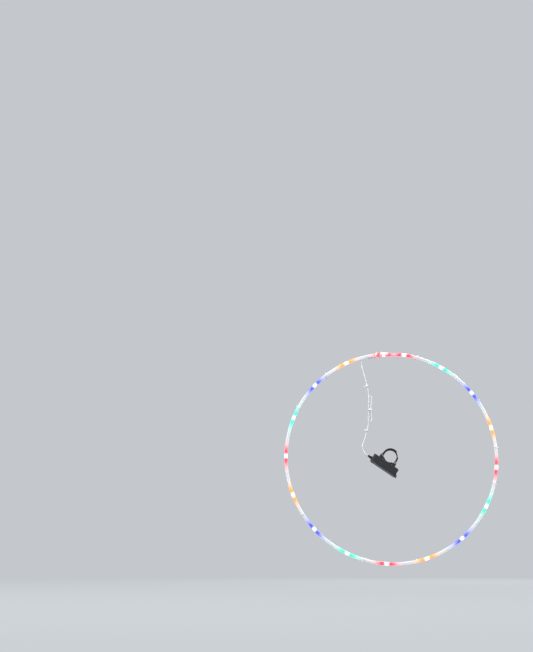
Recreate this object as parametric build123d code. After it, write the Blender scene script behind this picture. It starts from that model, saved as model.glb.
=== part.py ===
from build123d import *

import math
import os

# Light set for a spoked bicycle wheel.
# A clear flexible tube holds a string of lamps and lies in a ring just inside the rim. Small cable ties
# hold it to the spokes. A lead runs down a spoke to a battery pack that is strapped to the hub.
#
# Frame, in millimetres: the origin is the wheel's centre, +Y runs along the hub's axis, +Z is up, and
# the side of the wheel that faces -Y is the near side. A clock angle is counted in degrees from the
# top, clockwise as seen from the near side. A piece of the ring is modelled at the top, where +X is
# the clockwise way along the tube, and is then turned to its clock angle about the hub's axis. The
# pack is modelled above the hub, with +Z away from it, and is turned the same way.

# Ring of lamps
RING_R = 267.0
TUBE_OD = 8.0
TUBE_ID = 6.0
LAMP_COUNT = 17
SEAM_GAP = 52.0
SEAM_CLOCK = 3.6
LAMP_D = 5.0
LAMP_L = 7.0
LAMP_EDGE = 0.7
LAMP_COLOURS = ("red", "green", "blue", "orange")
WIRE_D = 0.9
WIRE_SPACING = 2.4
WIRE_GAP = 0.08
WIRE_INSET = 1.5

# Ends of the tube, side by side behind one another at the top
TUBE_TAIL = 8.0
SHIFT_RUN = 37.0
LEAD_IN = 50.0
SIDE_GAP = 0.4
SLEEVE_WALL = 0.8
SLEEVE_GAP = 0.1
PLUG_GRIP = 7.0
PLUG_NOSE = 2.6
PLUG_EDGE = 1.2
CAP_GRIP = 9.0
CAP_STOP = 2.5
CAP_EDGE = 0.8
RELIEF_L = 8.0
RELIEF_ROOT_D = 6.4
RELIEF_WALL = 0.8

# Cable ties
TIE_W = 2.5
TIE_T = 1.0
TIE_GAP = 0.25
TIE_LEAN = 30.0
TIE_CORNER = 4.2
TIE_TAIL = 5.0
TIE_TAIL_POINT = 1.2
HEAD_L = 3.2
HEAD_W = 4.4
HEAD_WALL = 1.1
HEAD_EDGE = 0.4
SLOT_GAP = 0.15
SPOKE_D = 2.0
SPOKE_TIE_CLOCKS = (16.5, 85.4, 105.0, 124.4, 168.0, 196.0, 237.4, 298.7, 322.8)
SEAM_TIE_SETBACKS = (1.5, 14.0)

# Lead
LEAD_D = 2.6
LEAD_GAP = 0.1
LEAD_STOP = 0.3
LEAD_CLEAR = 5.5
BEND_SHARE = 0.45
WAIST_HEIGHT = 122.0
SPOKE_RUNS = (5, 20)
LEAD_SKIP = 6

# Hub strap and pad
HUB_R = 16.0
PAD_T = 1.6
PAD_GAP = 0.05
PAD_HALF_ARC = 46.0
STRAP_W = 20.0
STRAP_T = 2.0
STRAP_LAYER_GAP = 0.2
STRAP_SEAT_GAP = 0.6
STRAP_SEWN_ARC = 24.0
STRAP_TAIL_ARC = 115.0
BAR_D = 3.4
BAR_GAP = 0.1
CHEEK_T = 3.0
CHEEK_GAP = 0.4
CHEEK_RIM = 1.2
SADDLE_HALF = 14.5

# Battery pack
PACK_CLOCK = 215.0
CELL_COUNT = 3
CELL_D = 14.5
CELL_L = 50.5
NUB_D = 5.5
NUB_L = 1.0
CELL_EDGE = 0.5
CELL_GAP = 0.5
CELL_TOP_GAP = 0.4
CELL_FLOOR_GAP = 0.3
WALL = 2.4
FLOOR_T = 2.2
BAY_CORNER = 1.5
PACK_CORNER = 5.0
PACK_EDGE = 1.6
CRADLE_T = 1.6
CRADLE_H = 4.5
CRADLE_GAP = 0.15
CRADLE_SHARES = (0.22, 0.72)
CIRCUIT_BAY_L = 9.4
CUT_OVER = 1.0
NUDGE = 0.01
HALF_TURN = 180
LEAST_SPREAD = 1e-9

# Contacts
PLATE_T = 0.4
PLATE_GAP = 0.1
PLATE_H = 11.0
PLATE_W = 11.0
TOUCH_GAP = 0.05
SPRING_L = 4.2
SPRING_WIRE = 0.7
SPRING_BASE_D = 8.0
SPRING_TIP_D = 5.4
SPRING_TURNS = 3

# Gasket, cover and hinge
GASKET_W = 1.2
GASKET_GROOVE = 0.9
GASKET_CORNER = 2.5
COVER_T = 2.4
COVER_LIFT = 0.2
PARTING_GAP = 0.25
LID_SEAT = 0.3
COVER_LIP_T = 1.1
RIB_T = 1.2
RIB_H = 2.0
RIB_GAP = 0.4
GRIP_COUNT = 4
GRIP_W = 1.0
GRIP_H = 0.5
GRIP_L = 26.0
GRIP_PITCH = 2.4
GRIP_SETBACK = 7.0
KNUCKLE_R = 2.4
KNUCKLE_GAP = 0.3
KNUCKLE_L = 22.0
LUG_L = 6.0
LUG_DROP = 6.0
PIN_D = 1.6
PIN_FIT = 0.03
PIN_RUN = 0.06

# Cover latch
LATCH_Y = -5.0
LATCH_TRAVEL = 2.2
LATCH_BITE = 1.9
LATCH_T = 1.2
LATCH_GAP = 0.1
LATCH_W = 11.8
LATCH_SIDE_GAP = 0.2
LATCH_BODY_L = 6.4
LATCH_STEM_L = 2.0
LATCH_STEM_W = 4.0
LATCH_STEM_SETBACK = 2.6
LATCH_FOOT_L = 4.9
LATCH_FOOT_W = 7.2
LATCH_FOOT_T = 1.0
LATCH_RIDGES = 3
LATCH_RIDGE_W = 0.6
LATCH_RIDGE_H = 0.5
LATCH_RIDGE_PITCH = 1.6

# Power button, switch and board
BUTTON_INSET = 4.0
BUTTON_D = 7.0
BUTTON_FIT = 0.08
BUTTON_PROUD = 1.3
BUTTON_EDGE = 0.9
BUTTON_FLANGE_D = 8.6
BUTTON_FLANGE_T = 0.9
BUTTON_STEM_D = 3.0
BUTTON_TRAVEL = 0.8
BOARD_T = 1.2
BOARD_END_GAP = 0.8
BOARD_GAP = 0.2
BOARD_H = 5.0
LEDGE_T = 1.2
LEDGE_INSET = 4.0
SWITCH_W = 6.0
SWITCH_H = 3.6
PLUNGER_D = 3.4
PLUNGER_L = 1.6
PLUNGER_PROUD = 0.95
PLUNGER_FIT = 0.05
CHIP_L = 4.9
CHIP_W = 3.9
CHIP_H = 1.5
CHIP_SHARE = -0.25
CAN_D = 4.0
CAN_H = 5.0
PART_GAP = 1.0
SCREW_D = 2.0
SCREW_L = 8.0
SCREW_HEAD_D = 3.8
SCREW_HEAD_H = 1.3
SCREW_PILOT_D = 1.96
SCREW_PASS_D = 2.3
SCREW_SINK = 0.1
SCREW_INSET = 5.5
SCREW_RECESS = 0.7
BOSS_D = 5.4

# Lead gland
GLAND_NECK_D = 5.0
GLAND_FLANGE_D = 7.0
GLAND_FLANGE_T = 1.2
GLAND_ROOT_D = 8.0
GLAND_TIP_D = 4.4
GLAND_L = 12.0
GLAND_FIT = 0.05
GLAND_RISE = 10.2
LEAD_INSIDE = 3.0

# Places along the ring
degrees_per_mm = math.degrees(1 / RING_R)
lamp_step = (360 - SEAM_GAP * degrees_per_mm) / (LAMP_COUNT - 1)
first_lamp = SEAM_CLOCK + SEAM_GAP * degrees_per_mm / 2
last_lamp = first_lamp + lamp_step * (LAMP_COUNT - 1)
tube_end = last_lamp + TUBE_TAIL * degrees_per_mm
shift_start = first_lamp - LAMP_L / 2 * degrees_per_mm
shift_end = shift_start - SHIFT_RUN * degrees_per_mm
tube_start = shift_end - LEAD_IN * degrees_per_mm
sleeve_od = TUBE_OD + 2 * (SLEEVE_GAP + SLEEVE_WALL)
side_shift = TUBE_OD / 2 + sleeve_od / 2 + SIDE_GAP

# Levels and lengths of the pack, counted from the hub's axis outwards
pad_outer = HUB_R + PAD_T
floor_out = pad_outer + PAD_GAP
floor_in = floor_out + FLOOR_T
cell_z = floor_in + CELL_FLOOR_GAP + CELL_D / 2
rim_z = cell_z + CELL_D / 2 + CELL_TOP_GAP
cover_z = rim_z + COVER_LIFT
top_z = cover_z + COVER_T
cell_pitch = CELL_D + CELL_GAP
bay_w = CELL_COUNT * cell_pitch + CELL_GAP / 2
bay_l = CELL_L + SPRING_L + 2 * (PLATE_T + PLATE_GAP) + 2 * TOUCH_GAP
pack_w = bay_w + 2 * WALL
pack_l = bay_l + CIRCUIT_BAY_L + 3 * WALL
bay_x0 = -pack_l / 2 + WALL
bay_x1 = bay_x0 + bay_l
circuit_x0 = bay_x1 + WALL
circuit_x1 = circuit_x0 + CIRCUIT_BAY_L
circuit_x = (circuit_x0 + circuit_x1) / 2
lid_x0 = circuit_x0 - LID_SEAT
cover_x1 = lid_x0 - PARTING_GAP
hinge_x = -pack_l / 2 - KNUCKLE_R - KNUCKLE_GAP
hinge_z = cover_z
board_z = floor_in + BOARD_H
gland_z = floor_in + GLAND_RISE
screw_y = pack_w / 2 - SCREW_INSET
board_w = 2 * (screw_y - BOSS_D / 2 - BOARD_END_GAP)
button_y = board_w / 2 - BUTTON_INSET
chip_y = CHIP_SHARE * board_w
can_y = chip_y + (CHIP_L + CAN_D) / 2 + PART_GAP

# Levels of the hub strap
strap_mid = HUB_R + STRAP_T / 2
strap_wrap = BAR_D / 2 + BAR_GAP + STRAP_T / 2
strap_outer = strap_mid + STRAP_T + STRAP_LAYER_GAP
bar_x = strap_mid + strap_wrap
bar_z = floor_out - STRAP_SEAT_GAP - strap_wrap - STRAP_T / 2


def block(x, y, z):
    """A box between two limits along each axis."""
    centre = Pos((x[0] + x[1]) / 2, (y[0] + y[1]) / 2, (z[0] + z[1]) / 2)
    return centre * Box(x[1] - x[0], y[1] - y[0], z[1] - z[0])


def about(middle, width):
    """The two limits of a width about its middle."""
    return (middle - width / 2, middle + width / 2)


def rounded_block(x, y, z, radius):
    """A block whose upright edges are rounded."""
    body = block(x, y, z)
    return fillet(body.edges().filter_by(Axis.Z), radius)


def rod_x(diameter, x0, x1):
    """A round bar along X between two limits."""
    return Pos((x0 + x1) / 2, 0, 0) * Rot(0, 90, 0) * Cylinder(diameter / 2, x1 - x0)


def rod_y(diameter, x, z, y0, y1):
    """A round bar along Y at one place of the XZ plane."""
    return Pos(x, (y0 + y1) / 2, z) * Rot(90, 0, 0) * Cylinder(diameter / 2, y1 - y0)


def rod_z(diameter, x, y, z0, z1):
    """An upright round bar between two levels."""
    return Pos(x, y, (z0 + z1) / 2) * Cylinder(diameter / 2, z1 - z0)


def at_clock(clock):
    """The turn about the hub's axis from the top to a clock angle."""
    return Rot(0, clock, 0)


def on_ring(clock, along=0, depth=0):
    """Where the ring's top frame goes at a clock angle, moved along the tube and in depth."""
    return at_clock(clock) * Pos(along, depth, RING_R)


def round_along(path, outer, bore=0):
    """A round tube or wire along a path."""
    section = Circle(outer / 2)
    if bore:
        section -= Circle(bore / 2)
    start = Plane(origin=path @ 0, z_dir=path % 0)
    return sweep(start * section, path=path)


def ribbon(path, across, width, thickness):
    """A flat strip along a path, its width in the direction across."""
    start = Plane(origin=path @ 0, x_dir=across, z_dir=path % 0)
    return sweep(start * Rectangle(width, thickness), path=path)


def biarc(p0, t0, p1, t1):
    """Two arcs that meet smoothly, from p0 along t0 to p1 along t1."""
    chord, both = p1 - p0, t0 + t1
    spread = 2 * (1 - t0.dot(t1))
    reach = chord.dot(chord) / (2 * chord.dot(both))
    if spread > LEAST_SPREAD:
        root = chord.dot(both) ** 2 + spread * chord.dot(chord)
        reach = (math.sqrt(root) - chord.dot(both)) / spread
    joint = (p0 + p1 + (t0 - t1) * reach) * 0.5
    heading = ((p1 - t1 * reach) - (p0 + t0 * reach)).normalized()
    return [TangentArc(p0, joint, tangent=t0), TangentArc(joint, p1, tangent=heading)]


def ring_place(clock, depth=0):
    """A point of the ring's centreline."""
    angle = math.radians(clock)
    return Vector(RING_R * math.sin(angle), depth, RING_R * math.cos(angle))


def ring_heading(clock):
    """The clockwise direction of the ring at a clock angle."""
    angle = math.radians(clock)
    return Vector(math.cos(angle), 0, -math.sin(angle))


def ring_path(clock0, clock1, depth=0):
    """One arc of the ring between two clock angles."""
    middle = (clock0 + clock1) / 2
    return ThreePointArc(ring_place(clock0, depth), ring_place(middle, depth), ring_place(clock1, depth))


def string_path(inset, end_clock, aside=0):
    """The tube's path from its lead-in end, round the ring, to a clock angle."""
    begin = tube_start + inset * degrees_per_mm
    back = side_shift + aside
    swerve = biarc(
        ring_place(shift_end, back),
        ring_heading(shift_end),
        ring_place(shift_start, aside),
        ring_heading(shift_start),
    )
    half = (shift_start + end_clock) / 2
    first, second = ring_path(shift_start, half, aside), ring_path(half, end_clock, aside)
    return Wire([ring_path(begin, shift_end, back), *swerve, first, second])


def light_tube():
    """The clear tube, open at both ends."""
    return round_along(string_path(0, tube_end), TUBE_OD, TUBE_ID)


def lamp_wires():
    """Two wires side by side through the tube, from the lead to the last lamp."""
    end = last_lamp + LAMP_L / 2 * degrees_per_mm
    paths = [string_path(WIRE_INSET, end, side * WIRE_SPACING / 2) for side in (-1, 1)]
    return [round_along(path, WIRE_D) for path in paths]


def lamp():
    """One lamp bead on its two wires, at the top of the ring."""
    bead = rod_x(LAMP_D, -LAMP_L / 2, LAMP_L / 2)
    bead = fillet(bead.edges().filter_by(GeomType.CIRCLE), LAMP_EDGE)
    for side in (-1, 1):
        bead -= Pos(0, side * WIRE_SPACING / 2, 0) * rod_x(WIRE_D + 2 * WIRE_GAP, -LAMP_L, LAMP_L)
    return bead


def lamps(colour_index):
    """Every lamp of one colour."""
    bead = lamp()
    numbers = range(colour_index, LAMP_COUNT, len(LAMP_COLOURS))
    return [on_ring(first_lamp + lamp_step * number) * bead for number in numbers]


def inlet_place(along=0):
    """The frame of the tube's first end, square to the middle of the cap's grip."""
    return on_ring(tube_start + CAP_GRIP / 2 * degrees_per_mm, along - CAP_GRIP / 2, side_shift)


def end_plug():
    """The closed sleeve over the tube's last end."""
    sleeve = rod_x(sleeve_od, -PLUG_GRIP, PLUG_NOSE)
    nose = sleeve.edges().filter_by(GeomType.CIRCLE).sort_by(Axis.X)[-1]
    sleeve = fillet(nose, PLUG_EDGE)
    sleeve -= rod_x(TUBE_OD + 2 * SLEEVE_GAP, -PLUG_GRIP - CUT_OVER, SLEEVE_GAP)
    return on_ring(tube_end - PLUG_GRIP / 2 * degrees_per_mm, PLUG_GRIP / 2) * sleeve


def inlet_cap():
    """The sleeve over the tube's first end, with the tapered relief that the lead comes through."""
    sleeve = rod_x(sleeve_od, -CAP_STOP, CAP_GRIP)
    shoulder = sleeve.edges().filter_by(GeomType.CIRCLE).sort_by(Axis.X)[0]
    sleeve = fillet(shoulder, CAP_EDGE)
    tip_d = LEAD_D + 2 * (LEAD_GAP + RELIEF_WALL)
    taper = Cone(tip_d / 2, RELIEF_ROOT_D / 2, RELIEF_L)
    sleeve += Pos(-CAP_STOP - RELIEF_L / 2, 0, 0) * Rot(0, 90, 0) * taper
    sleeve -= rod_x(TUBE_OD + 2 * SLEEVE_GAP, -SLEEVE_GAP, CAP_GRIP + CUT_OVER)
    sleeve -= rod_x(LEAD_D + 2 * LEAD_GAP, -CAP_STOP - RELIEF_L - CUT_OVER, CUT_OVER)
    return inlet_place() * sleeve


def cable_tie(half_u, half_v, corner):
    """One closed tie about an opening of half sizes along X and Y, its head on the -Y side."""
    run_u, run_v = half_u + TIE_T / 2, half_v + TIE_T / 2
    layer = TIE_T + TIE_GAP
    corner = min(corner, run_u - HEAD_L / 2 - SLOT_GAP, run_v - SLOT_GAP)
    low = -run_v - layer
    tip = HEAD_L / 2 + TIE_TAIL
    loop = [(0, -run_v), (run_u, -run_v), (run_u, run_v), (-run_u, run_v), (-run_u, low), (tip, low)]
    path = FilletPolyline(*loop, radius=corner)
    strip = ribbon(path, (0, 0, 1), TIE_W, TIE_T)
    ends = strip.edges().filter_by(Axis.Y).sort_by(Axis.X)[-2:]
    strip = chamfer(ends, TIE_TAIL_POINT / 2)
    head_y = (low - TIE_T / 2 - SLOT_GAP - HEAD_WALL, -run_v + TIE_T / 2)
    head = block(about(0, HEAD_L), head_y, about(0, HEAD_W))
    head = chamfer(head.edges().filter_by(Axis.X), HEAD_EDGE)
    slot_y, slot_z = about(low, TIE_T + 2 * SLOT_GAP), about(0, TIE_W + 2 * SLOT_GAP)
    slot = block(about(0, HEAD_L + 2 * CUT_OVER), slot_y, slot_z)
    return strip + (head - slot)


def leaning_tie(clock, back):
    """A tie across the tube and the spoke behind it; back is how far it reaches behind the tube."""
    lean = math.radians(TIE_LEAN)
    half_u = TUBE_OD / 2 / math.cos(lean) + TIE_W / 2 * math.tan(lean) + TIE_GAP
    front = -TUBE_OD / 2 - TIE_GAP
    half_v = (back + TIE_GAP - front) / 2
    plane = Plane(
        origin=(0, front + half_v, RING_R),
        x_dir=(math.sin(lean), 0, math.cos(lean)),
        z_dir=(-math.cos(lean), 0, math.sin(lean)),
    )
    return at_clock(clock) * plane.location * cable_tie(half_u, half_v, TIE_CORNER)


def spoke_ties():
    """The ties round the ring and, where both ends of the tube lie together, the two seam ties."""
    back = TUBE_OD / 2 + SPOKE_D
    ties = [leaning_tie(clock, back) for clock in SPOKE_TIE_CLOCKS]
    seam_back = side_shift + back
    for setback in SEAM_TIE_SETBACKS:
        ties.append(leaning_tie(last_lamp - (LAMP_L + setback) * degrees_per_mm, seam_back))
    return ties


def pack_point(x, z, y=0):
    """A point of the pack's own frame, in the frame of the wheel."""
    turn = math.radians(PACK_CLOCK)
    across, out = math.cos(turn), math.sin(turn)
    return Vector(x * across + z * out, y, -x * out + z * across)


def lead_route():
    """The lead's points, from the inlet cap down to the pack's gland."""
    start = inlet_place(-LEAD_STOP).position
    clear = inlet_place(-CAP_STOP - RELIEF_L - LEAD_CLEAR).position
    gland_tip = pack_l / 2 + GLAND_L
    inside = pack_point(circuit_x1 - LEAD_INSIDE, gland_z)
    outside = pack_point(gland_tip + 2 * LEAD_CLEAR, gland_z)
    leaving_the_tube = [(-67.4, 9.1, 254.6), (-68.6, 8.8, 243.6)]
    down_the_spoke = [(-64.4, 7.8, 224.5), (-57.6, 6.4, 197.0), (-51.6, 5.3, 172.0)]
    hank_down = [(-51.9, 5.0, 146.0), (-51.6, 5.0, 122.0), (-53.9, 5.0, 104.0), (-53.7, 5.0, 89.5)]
    hank_up = [(-45.5, 5.0, 89.5), (-45.1, 5.0, 103.0), (-47.0, 5.0, 122.4), (-44.5, 5.0, 143.0)]
    hank_back = [(-43.5, 5.2, 157.0), (-51.3, 8.9, 157.4), (-51.9, 8.7, 142.0), (-49.3, 8.3, 122.0)]
    past_the_fold = [(-52.0, 8.4, 103.0), (-54.6, 8.6, 79.0)]
    to_the_pack = [(-61.0, 6.0, 56.0), (-68.2, 3.0, 36.0), (-71.8, 1.0, 24.0)]
    hank = hank_down + hank_up + hank_back
    free = leaving_the_tube + down_the_spoke + hank + past_the_fold + to_the_pack
    return [start, clear, *[Vector(*point) for point in free], outside, inside]


def bend_radii(route):
    """One radius for each corner: a share of its shorter run, over the tangent of half its turn."""
    radii = []
    for before, corner, after in zip(route, route[1:], route[2:]):
        turn = math.radians((corner - before).get_angle(after - corner))
        shorter = min((corner - before).length, (after - corner).length)
        radii.append(BEND_SHARE * shorter / math.tan(turn / 2))
    return radii


def lead_path():
    """The lead's centreline."""
    route = lead_route()
    return FilletPolyline(*route, radius=bend_radii(route))


def points_along(path, spacing):
    """Points of a path, about one spacing apart."""
    count = int(path.length / spacing)
    return [path @ (index / count) for index in range(count + 1)]


def lead_cable():
    """The lead, whole, with the hank that takes up its slack."""
    path = lead_path()
    radii = [round(radius, 1) for radius in bend_radii(lead_route())]
    print("lead length", round(path.length, 1), "bend radii", radii)
    points = points_along(path, LEAD_D / 2)
    gaps = [(a - b).length - LEAD_D for i, a in enumerate(points) for b in points[i + LEAD_SKIP:]]
    print("least gap of the lead to itself", round(min(gaps), 2))
    return round_along(path, LEAD_D)


def lead_ties():
    """The tie at the hank's waist, and two that hold the lead to the spoke beside it."""
    route, waist_z = lead_route(), WAIST_HEIGHT
    waist = [point for point in points_along(lead_path(), TIE_T / 2) if abs(point.Z - waist_z) < TIE_W / 2]
    x, y = sorted(point.X for point in waist), sorted(point.Y for point in waist)
    reach = LEAD_D / 2 + TIE_GAP
    corner = reach + TIE_T / 2
    middle = Pos((x[0] + x[-1]) / 2, (y[0] + y[-1]) / 2, waist_z)
    ties = [middle * cable_tie((x[-1] - x[0]) / 2 + reach, (y[-1] - y[0]) / 2 + reach, corner)]
    for index in SPOKE_RUNS:
        origin, heading = (route[index] + route[index + 1]) * 0.5, route[index + 1] - route[index]
        plane = Plane(origin=origin, x_dir=Vector(0, 1, 0).cross(heading), z_dir=heading)
        beside = Pos(SPOKE_D / 2, 0, 0)
        half_u = (LEAD_D + SPOKE_D) / 2 + TIE_GAP
        ties.append(plane.location * beside * cable_tie(half_u, reach, corner))
    return ties


def hub_pad():
    """The rubber between hub and saddle."""
    ring = rod_y(2 * pad_outer, 0, 0, *about(0, STRAP_W + 2 * CHEEK_GAP + CHEEK_T))
    ring -= rod_y(2 * HUB_R, 0, 0, *about(0, 2 * STRAP_W))
    reach = 2 * pad_outer
    beyond = block((0, reach), about(0, 2 * STRAP_W), about(0, 2 * reach))
    ring -= Rot(0, PAD_HALF_ARC, 0) * beyond
    return ring - Rot(0, HALF_TURN - PAD_HALF_ARC, 0) * beyond


def hub_strap():
    """The strap: sewn round one bar, once round the hub, through the other bar and back on itself."""
    down, up = Vector(0, 0, -1), Vector(0, 0, 1)
    outer_x = bar_x + strap_wrap
    sewn, tail = math.radians(STRAP_SEWN_ARC), math.radians(STRAP_TAIL_ARC)

    def at(x, z):
        return Vector(x, 0, z)

    def outer_at(angle):
        return at(strap_outer * math.cos(angle), -strap_outer * math.sin(angle))

    def mirrored_at(angle):
        return at(-strap_outer * math.cos(angle), -strap_outer * math.sin(angle))

    path = Wire([
        ThreePointArc(mirrored_at(sewn), mirrored_at(sewn / 2), mirrored_at(0)),
        *biarc(at(-strap_outer, 0), up, at(-outer_x, bar_z), up),
        ThreePointArc(at(-outer_x, bar_z), at(-bar_x, bar_z + strap_wrap), at(-strap_mid, bar_z)),
        Line(at(-strap_mid, bar_z), at(-strap_mid, 0)),
        ThreePointArc(at(-strap_mid, 0), at(0, -strap_mid), at(strap_mid, 0)),
        Line(at(strap_mid, 0), at(strap_mid, bar_z)),
        ThreePointArc(at(strap_mid, bar_z), at(bar_x, bar_z + strap_wrap), at(outer_x, bar_z)),
        *biarc(at(outer_x, bar_z), down, at(strap_outer, 0), down),
        ThreePointArc(outer_at(0), outer_at(tail / 2), outer_at(tail)),
    ])
    return ribbon(path, (0, 1, 0), STRAP_W, STRAP_T)


def pack_base():
    """The tray: bays, cradles, ledges and bosses inside, saddle and strap bars below, hinge lugs."""
    body = rounded_block(about(0, pack_l), about(0, pack_w), (floor_out, rim_z), PACK_CORNER)
    body = fillet(body.faces().sort_by(Axis.Z)[0].edges(), PACK_EDGE)
    bay_z = (floor_in, rim_z + CUT_OVER)
    body -= rounded_block((bay_x0, bay_x1), about(0, bay_w), bay_z, BAY_CORNER)
    body -= rounded_block((circuit_x0, circuit_x1), about(0, bay_w), bay_z, BAY_CORNER)
    body -= gasket_ring(GASKET_W + 2 * GLAND_FIT, rim_z - GASKET_GROOVE, rim_z + CUT_OVER)
    cradles = Part()
    for share in CRADLE_SHARES:
        place = bay_x0 + share * bay_l
        cradles += block(about(place, CRADLE_T), about(0, bay_w), (floor_in, floor_in + CRADLE_H))
    for number in range(CELL_COUNT):
        trough = rod_x(CELL_D + 2 * CRADLE_GAP, bay_x0, bay_x1)
        cradles -= Pos(0, cell_y(number), cell_z) * trough
    body += cradles
    for side in (-1, 1):
        ledge_y = about(side * (board_w / 2 - LEDGE_INSET), LEDGE_T)
        body += block((circuit_x0, circuit_x1), ledge_y, (floor_in, board_z))
        body += rod_z(BOSS_D, circuit_x, side * screw_y, floor_in, rim_z)
        pilot_low = top_z - SCREW_SINK - SCREW_L - CUT_OVER
        body -= rod_z(SCREW_PILOT_D, circuit_x, side * screw_y, pilot_low, rim_z + CUT_OVER)
    hole = rod_x(GLAND_NECK_D + 2 * GLAND_FIT, circuit_x1 - CUT_OVER, pack_l / 2 + CUT_OVER)
    body -= Pos(0, 0, gland_z) * hole
    return body + strap_saddle() + hinge_lugs()


def strap_saddle():
    """The curved saddle under the tray, and the two strap bars between their cheeks."""
    low = bar_z - BAR_D / 2 - CHEEK_RIM
    reach = bar_x + BAR_D / 2 + CHEEK_RIM
    inner = STRAP_W / 2 + CHEEK_GAP
    saddle_low = pad_outer * math.cos(math.radians(PAD_HALF_ARC))
    saddle = block(about(0, 2 * SADDLE_HALF), about(0, 2 * inner), (saddle_low, floor_out + PACK_EDGE))
    for side in (-1, 1):
        cheek_y = sorted((side * inner, side * (inner + CHEEK_T)))
        cheek = block(about(0, 2 * reach), cheek_y, (low, floor_out + PACK_EDGE))
        corners = cheek.edges().filter_by(Axis.Y).group_by(Axis.Z)[0]
        saddle += fillet(corners, BAR_D / 2)
        saddle += rod_y(BAR_D, side * bar_x, bar_z, -inner - CHEEK_T / 2, inner + CHEEK_T / 2)
    return saddle - rod_y(2 * floor_out, 0, 0, *about(0, 2 * (inner + CHEEK_T + CUT_OVER)))


def hinge_lugs():
    """The two lugs on the end wall that carry the hinge pin."""
    lugs = Part()
    for side in (-1, 1):
        near = KNUCKLE_L / 2 + KNUCKLE_GAP
        span = sorted((side * near, side * (near + LUG_L)))
        lug = rod_y(2 * KNUCKLE_R, hinge_x, hinge_z, *span)
        wall_x = -pack_l / 2 + KNUCKLE_GAP
        web = Polyline(
            (wall_x, hinge_z - COVER_LIFT), (hinge_x, hinge_z - KNUCKLE_R), (-pack_l / 2, hinge_z - LUG_DROP),
            (wall_x, hinge_z - LUG_DROP), close=True
        )
        outline = Plane(origin=(0, span[1], 0), x_dir=(1, 0, 0), z_dir=(0, -1, 0)) * make_face(web)
        lug += extrude(outline, amount=LUG_L)
        lug += block((hinge_x, wall_x), span, (hinge_z - KNUCKLE_R, hinge_z - COVER_LIFT))
        lugs += lug - rod_y(PIN_D + 2 * PIN_FIT, hinge_x, hinge_z, span[0] - CUT_OVER, span[1] + CUT_OVER)
    return lugs


def hinge_pin():
    """The steel pin through lugs and knuckle."""
    half = KNUCKLE_L / 2 + KNUCKLE_GAP + LUG_L
    return rod_y(PIN_D, hinge_x, hinge_z, -half, half)


def gasket_ring(width, low, high):
    """A flat ring that follows the rim of the cell bay."""
    x = (-pack_l / 2 + WALL / 2, bay_x1 + WALL / 2)
    y = about(0, pack_w - WALL)
    half = width / 2
    outer_x, outer_y = (x[0] - half, x[1] + half), (y[0] - half, y[1] + half)
    inner_x, inner_y = (x[0] + half, x[1] - half), (y[0] + half, y[1] - half)
    inner_z = (low - CUT_OVER, high + CUT_OVER)
    outer = rounded_block(outer_x, outer_y, (low, high), GASKET_CORNER + half)
    return outer - rounded_block(inner_x, inner_y, inner_z, GASKET_CORNER - half)


def cover_gasket():
    """The seal in the groove of the rim, just short of the cover."""
    return gasket_ring(GASKET_W, rim_z - GASKET_GROOVE, cover_z - TOUCH_GAP)


def battery_cover():
    """The door over the cells: plate, inner rib, lip for the latch, grip ridges and hinge knuckle."""
    plate = block((-pack_l / 2, cover_x1), about(0, pack_w), (cover_z, top_z))
    corners = plate.edges().filter_by(Axis.Z).group_by(Axis.X)[0]
    plate = fillet(corners, PACK_CORNER)
    rib_x = (bay_x0 + RIB_GAP, bay_x1 - RIB_GAP)
    rib_y = about(0, bay_w - 2 * RIB_GAP)
    rib_z = (cover_z - RIB_H, cover_z + TOUCH_GAP)
    rib = rounded_block(rib_x, rib_y, rib_z, BAY_CORNER)
    rib -= block((rib_x[0] + RIB_T, rib_x[1] - RIB_T), (rib_y[0] + RIB_T, rib_y[1] - RIB_T), (0, 2 * top_z))
    for number in range(CELL_COUNT):
        rib -= Pos(0, cell_y(number), cell_z) * rod_x(CELL_D + 2 * CRADLE_GAP, bay_x0, bay_x1)
    plate += rib
    lip_x = (cover_x1 - LATCH_BITE - LATCH_SIDE_GAP, cover_x1 + CUT_OVER)
    lip_y = about(LATCH_Y, LATCH_W + 4 * LATCH_SIDE_GAP)
    plate -= block(lip_x, lip_y, (cover_z + COVER_LIP_T, top_z + CUT_OVER))
    for number in range(GRIP_COUNT):
        ridge_x = about(cover_x1 - GRIP_SETBACK - number * GRIP_PITCH, GRIP_W)
        ridge = block(ridge_x, about(0, GRIP_L), (top_z - TOUCH_GAP, top_z + GRIP_H))
        plate += chamfer(ridge.faces().sort_by(Axis.Z)[-1].edges(), GRIP_H / 2)
    knuckle = rod_y(2 * KNUCKLE_R, hinge_x, hinge_z, *about(0, KNUCKLE_L))
    arm = block((hinge_x, -pack_l / 2 + WALL), about(0, KNUCKLE_L), (cover_z, top_z))
    plate += knuckle + arm
    return plate - rod_y(PIN_D + 2 * PIN_RUN, hinge_x, hinge_z, *about(0, KNUCKLE_L + 2 * CUT_OVER))


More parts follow.
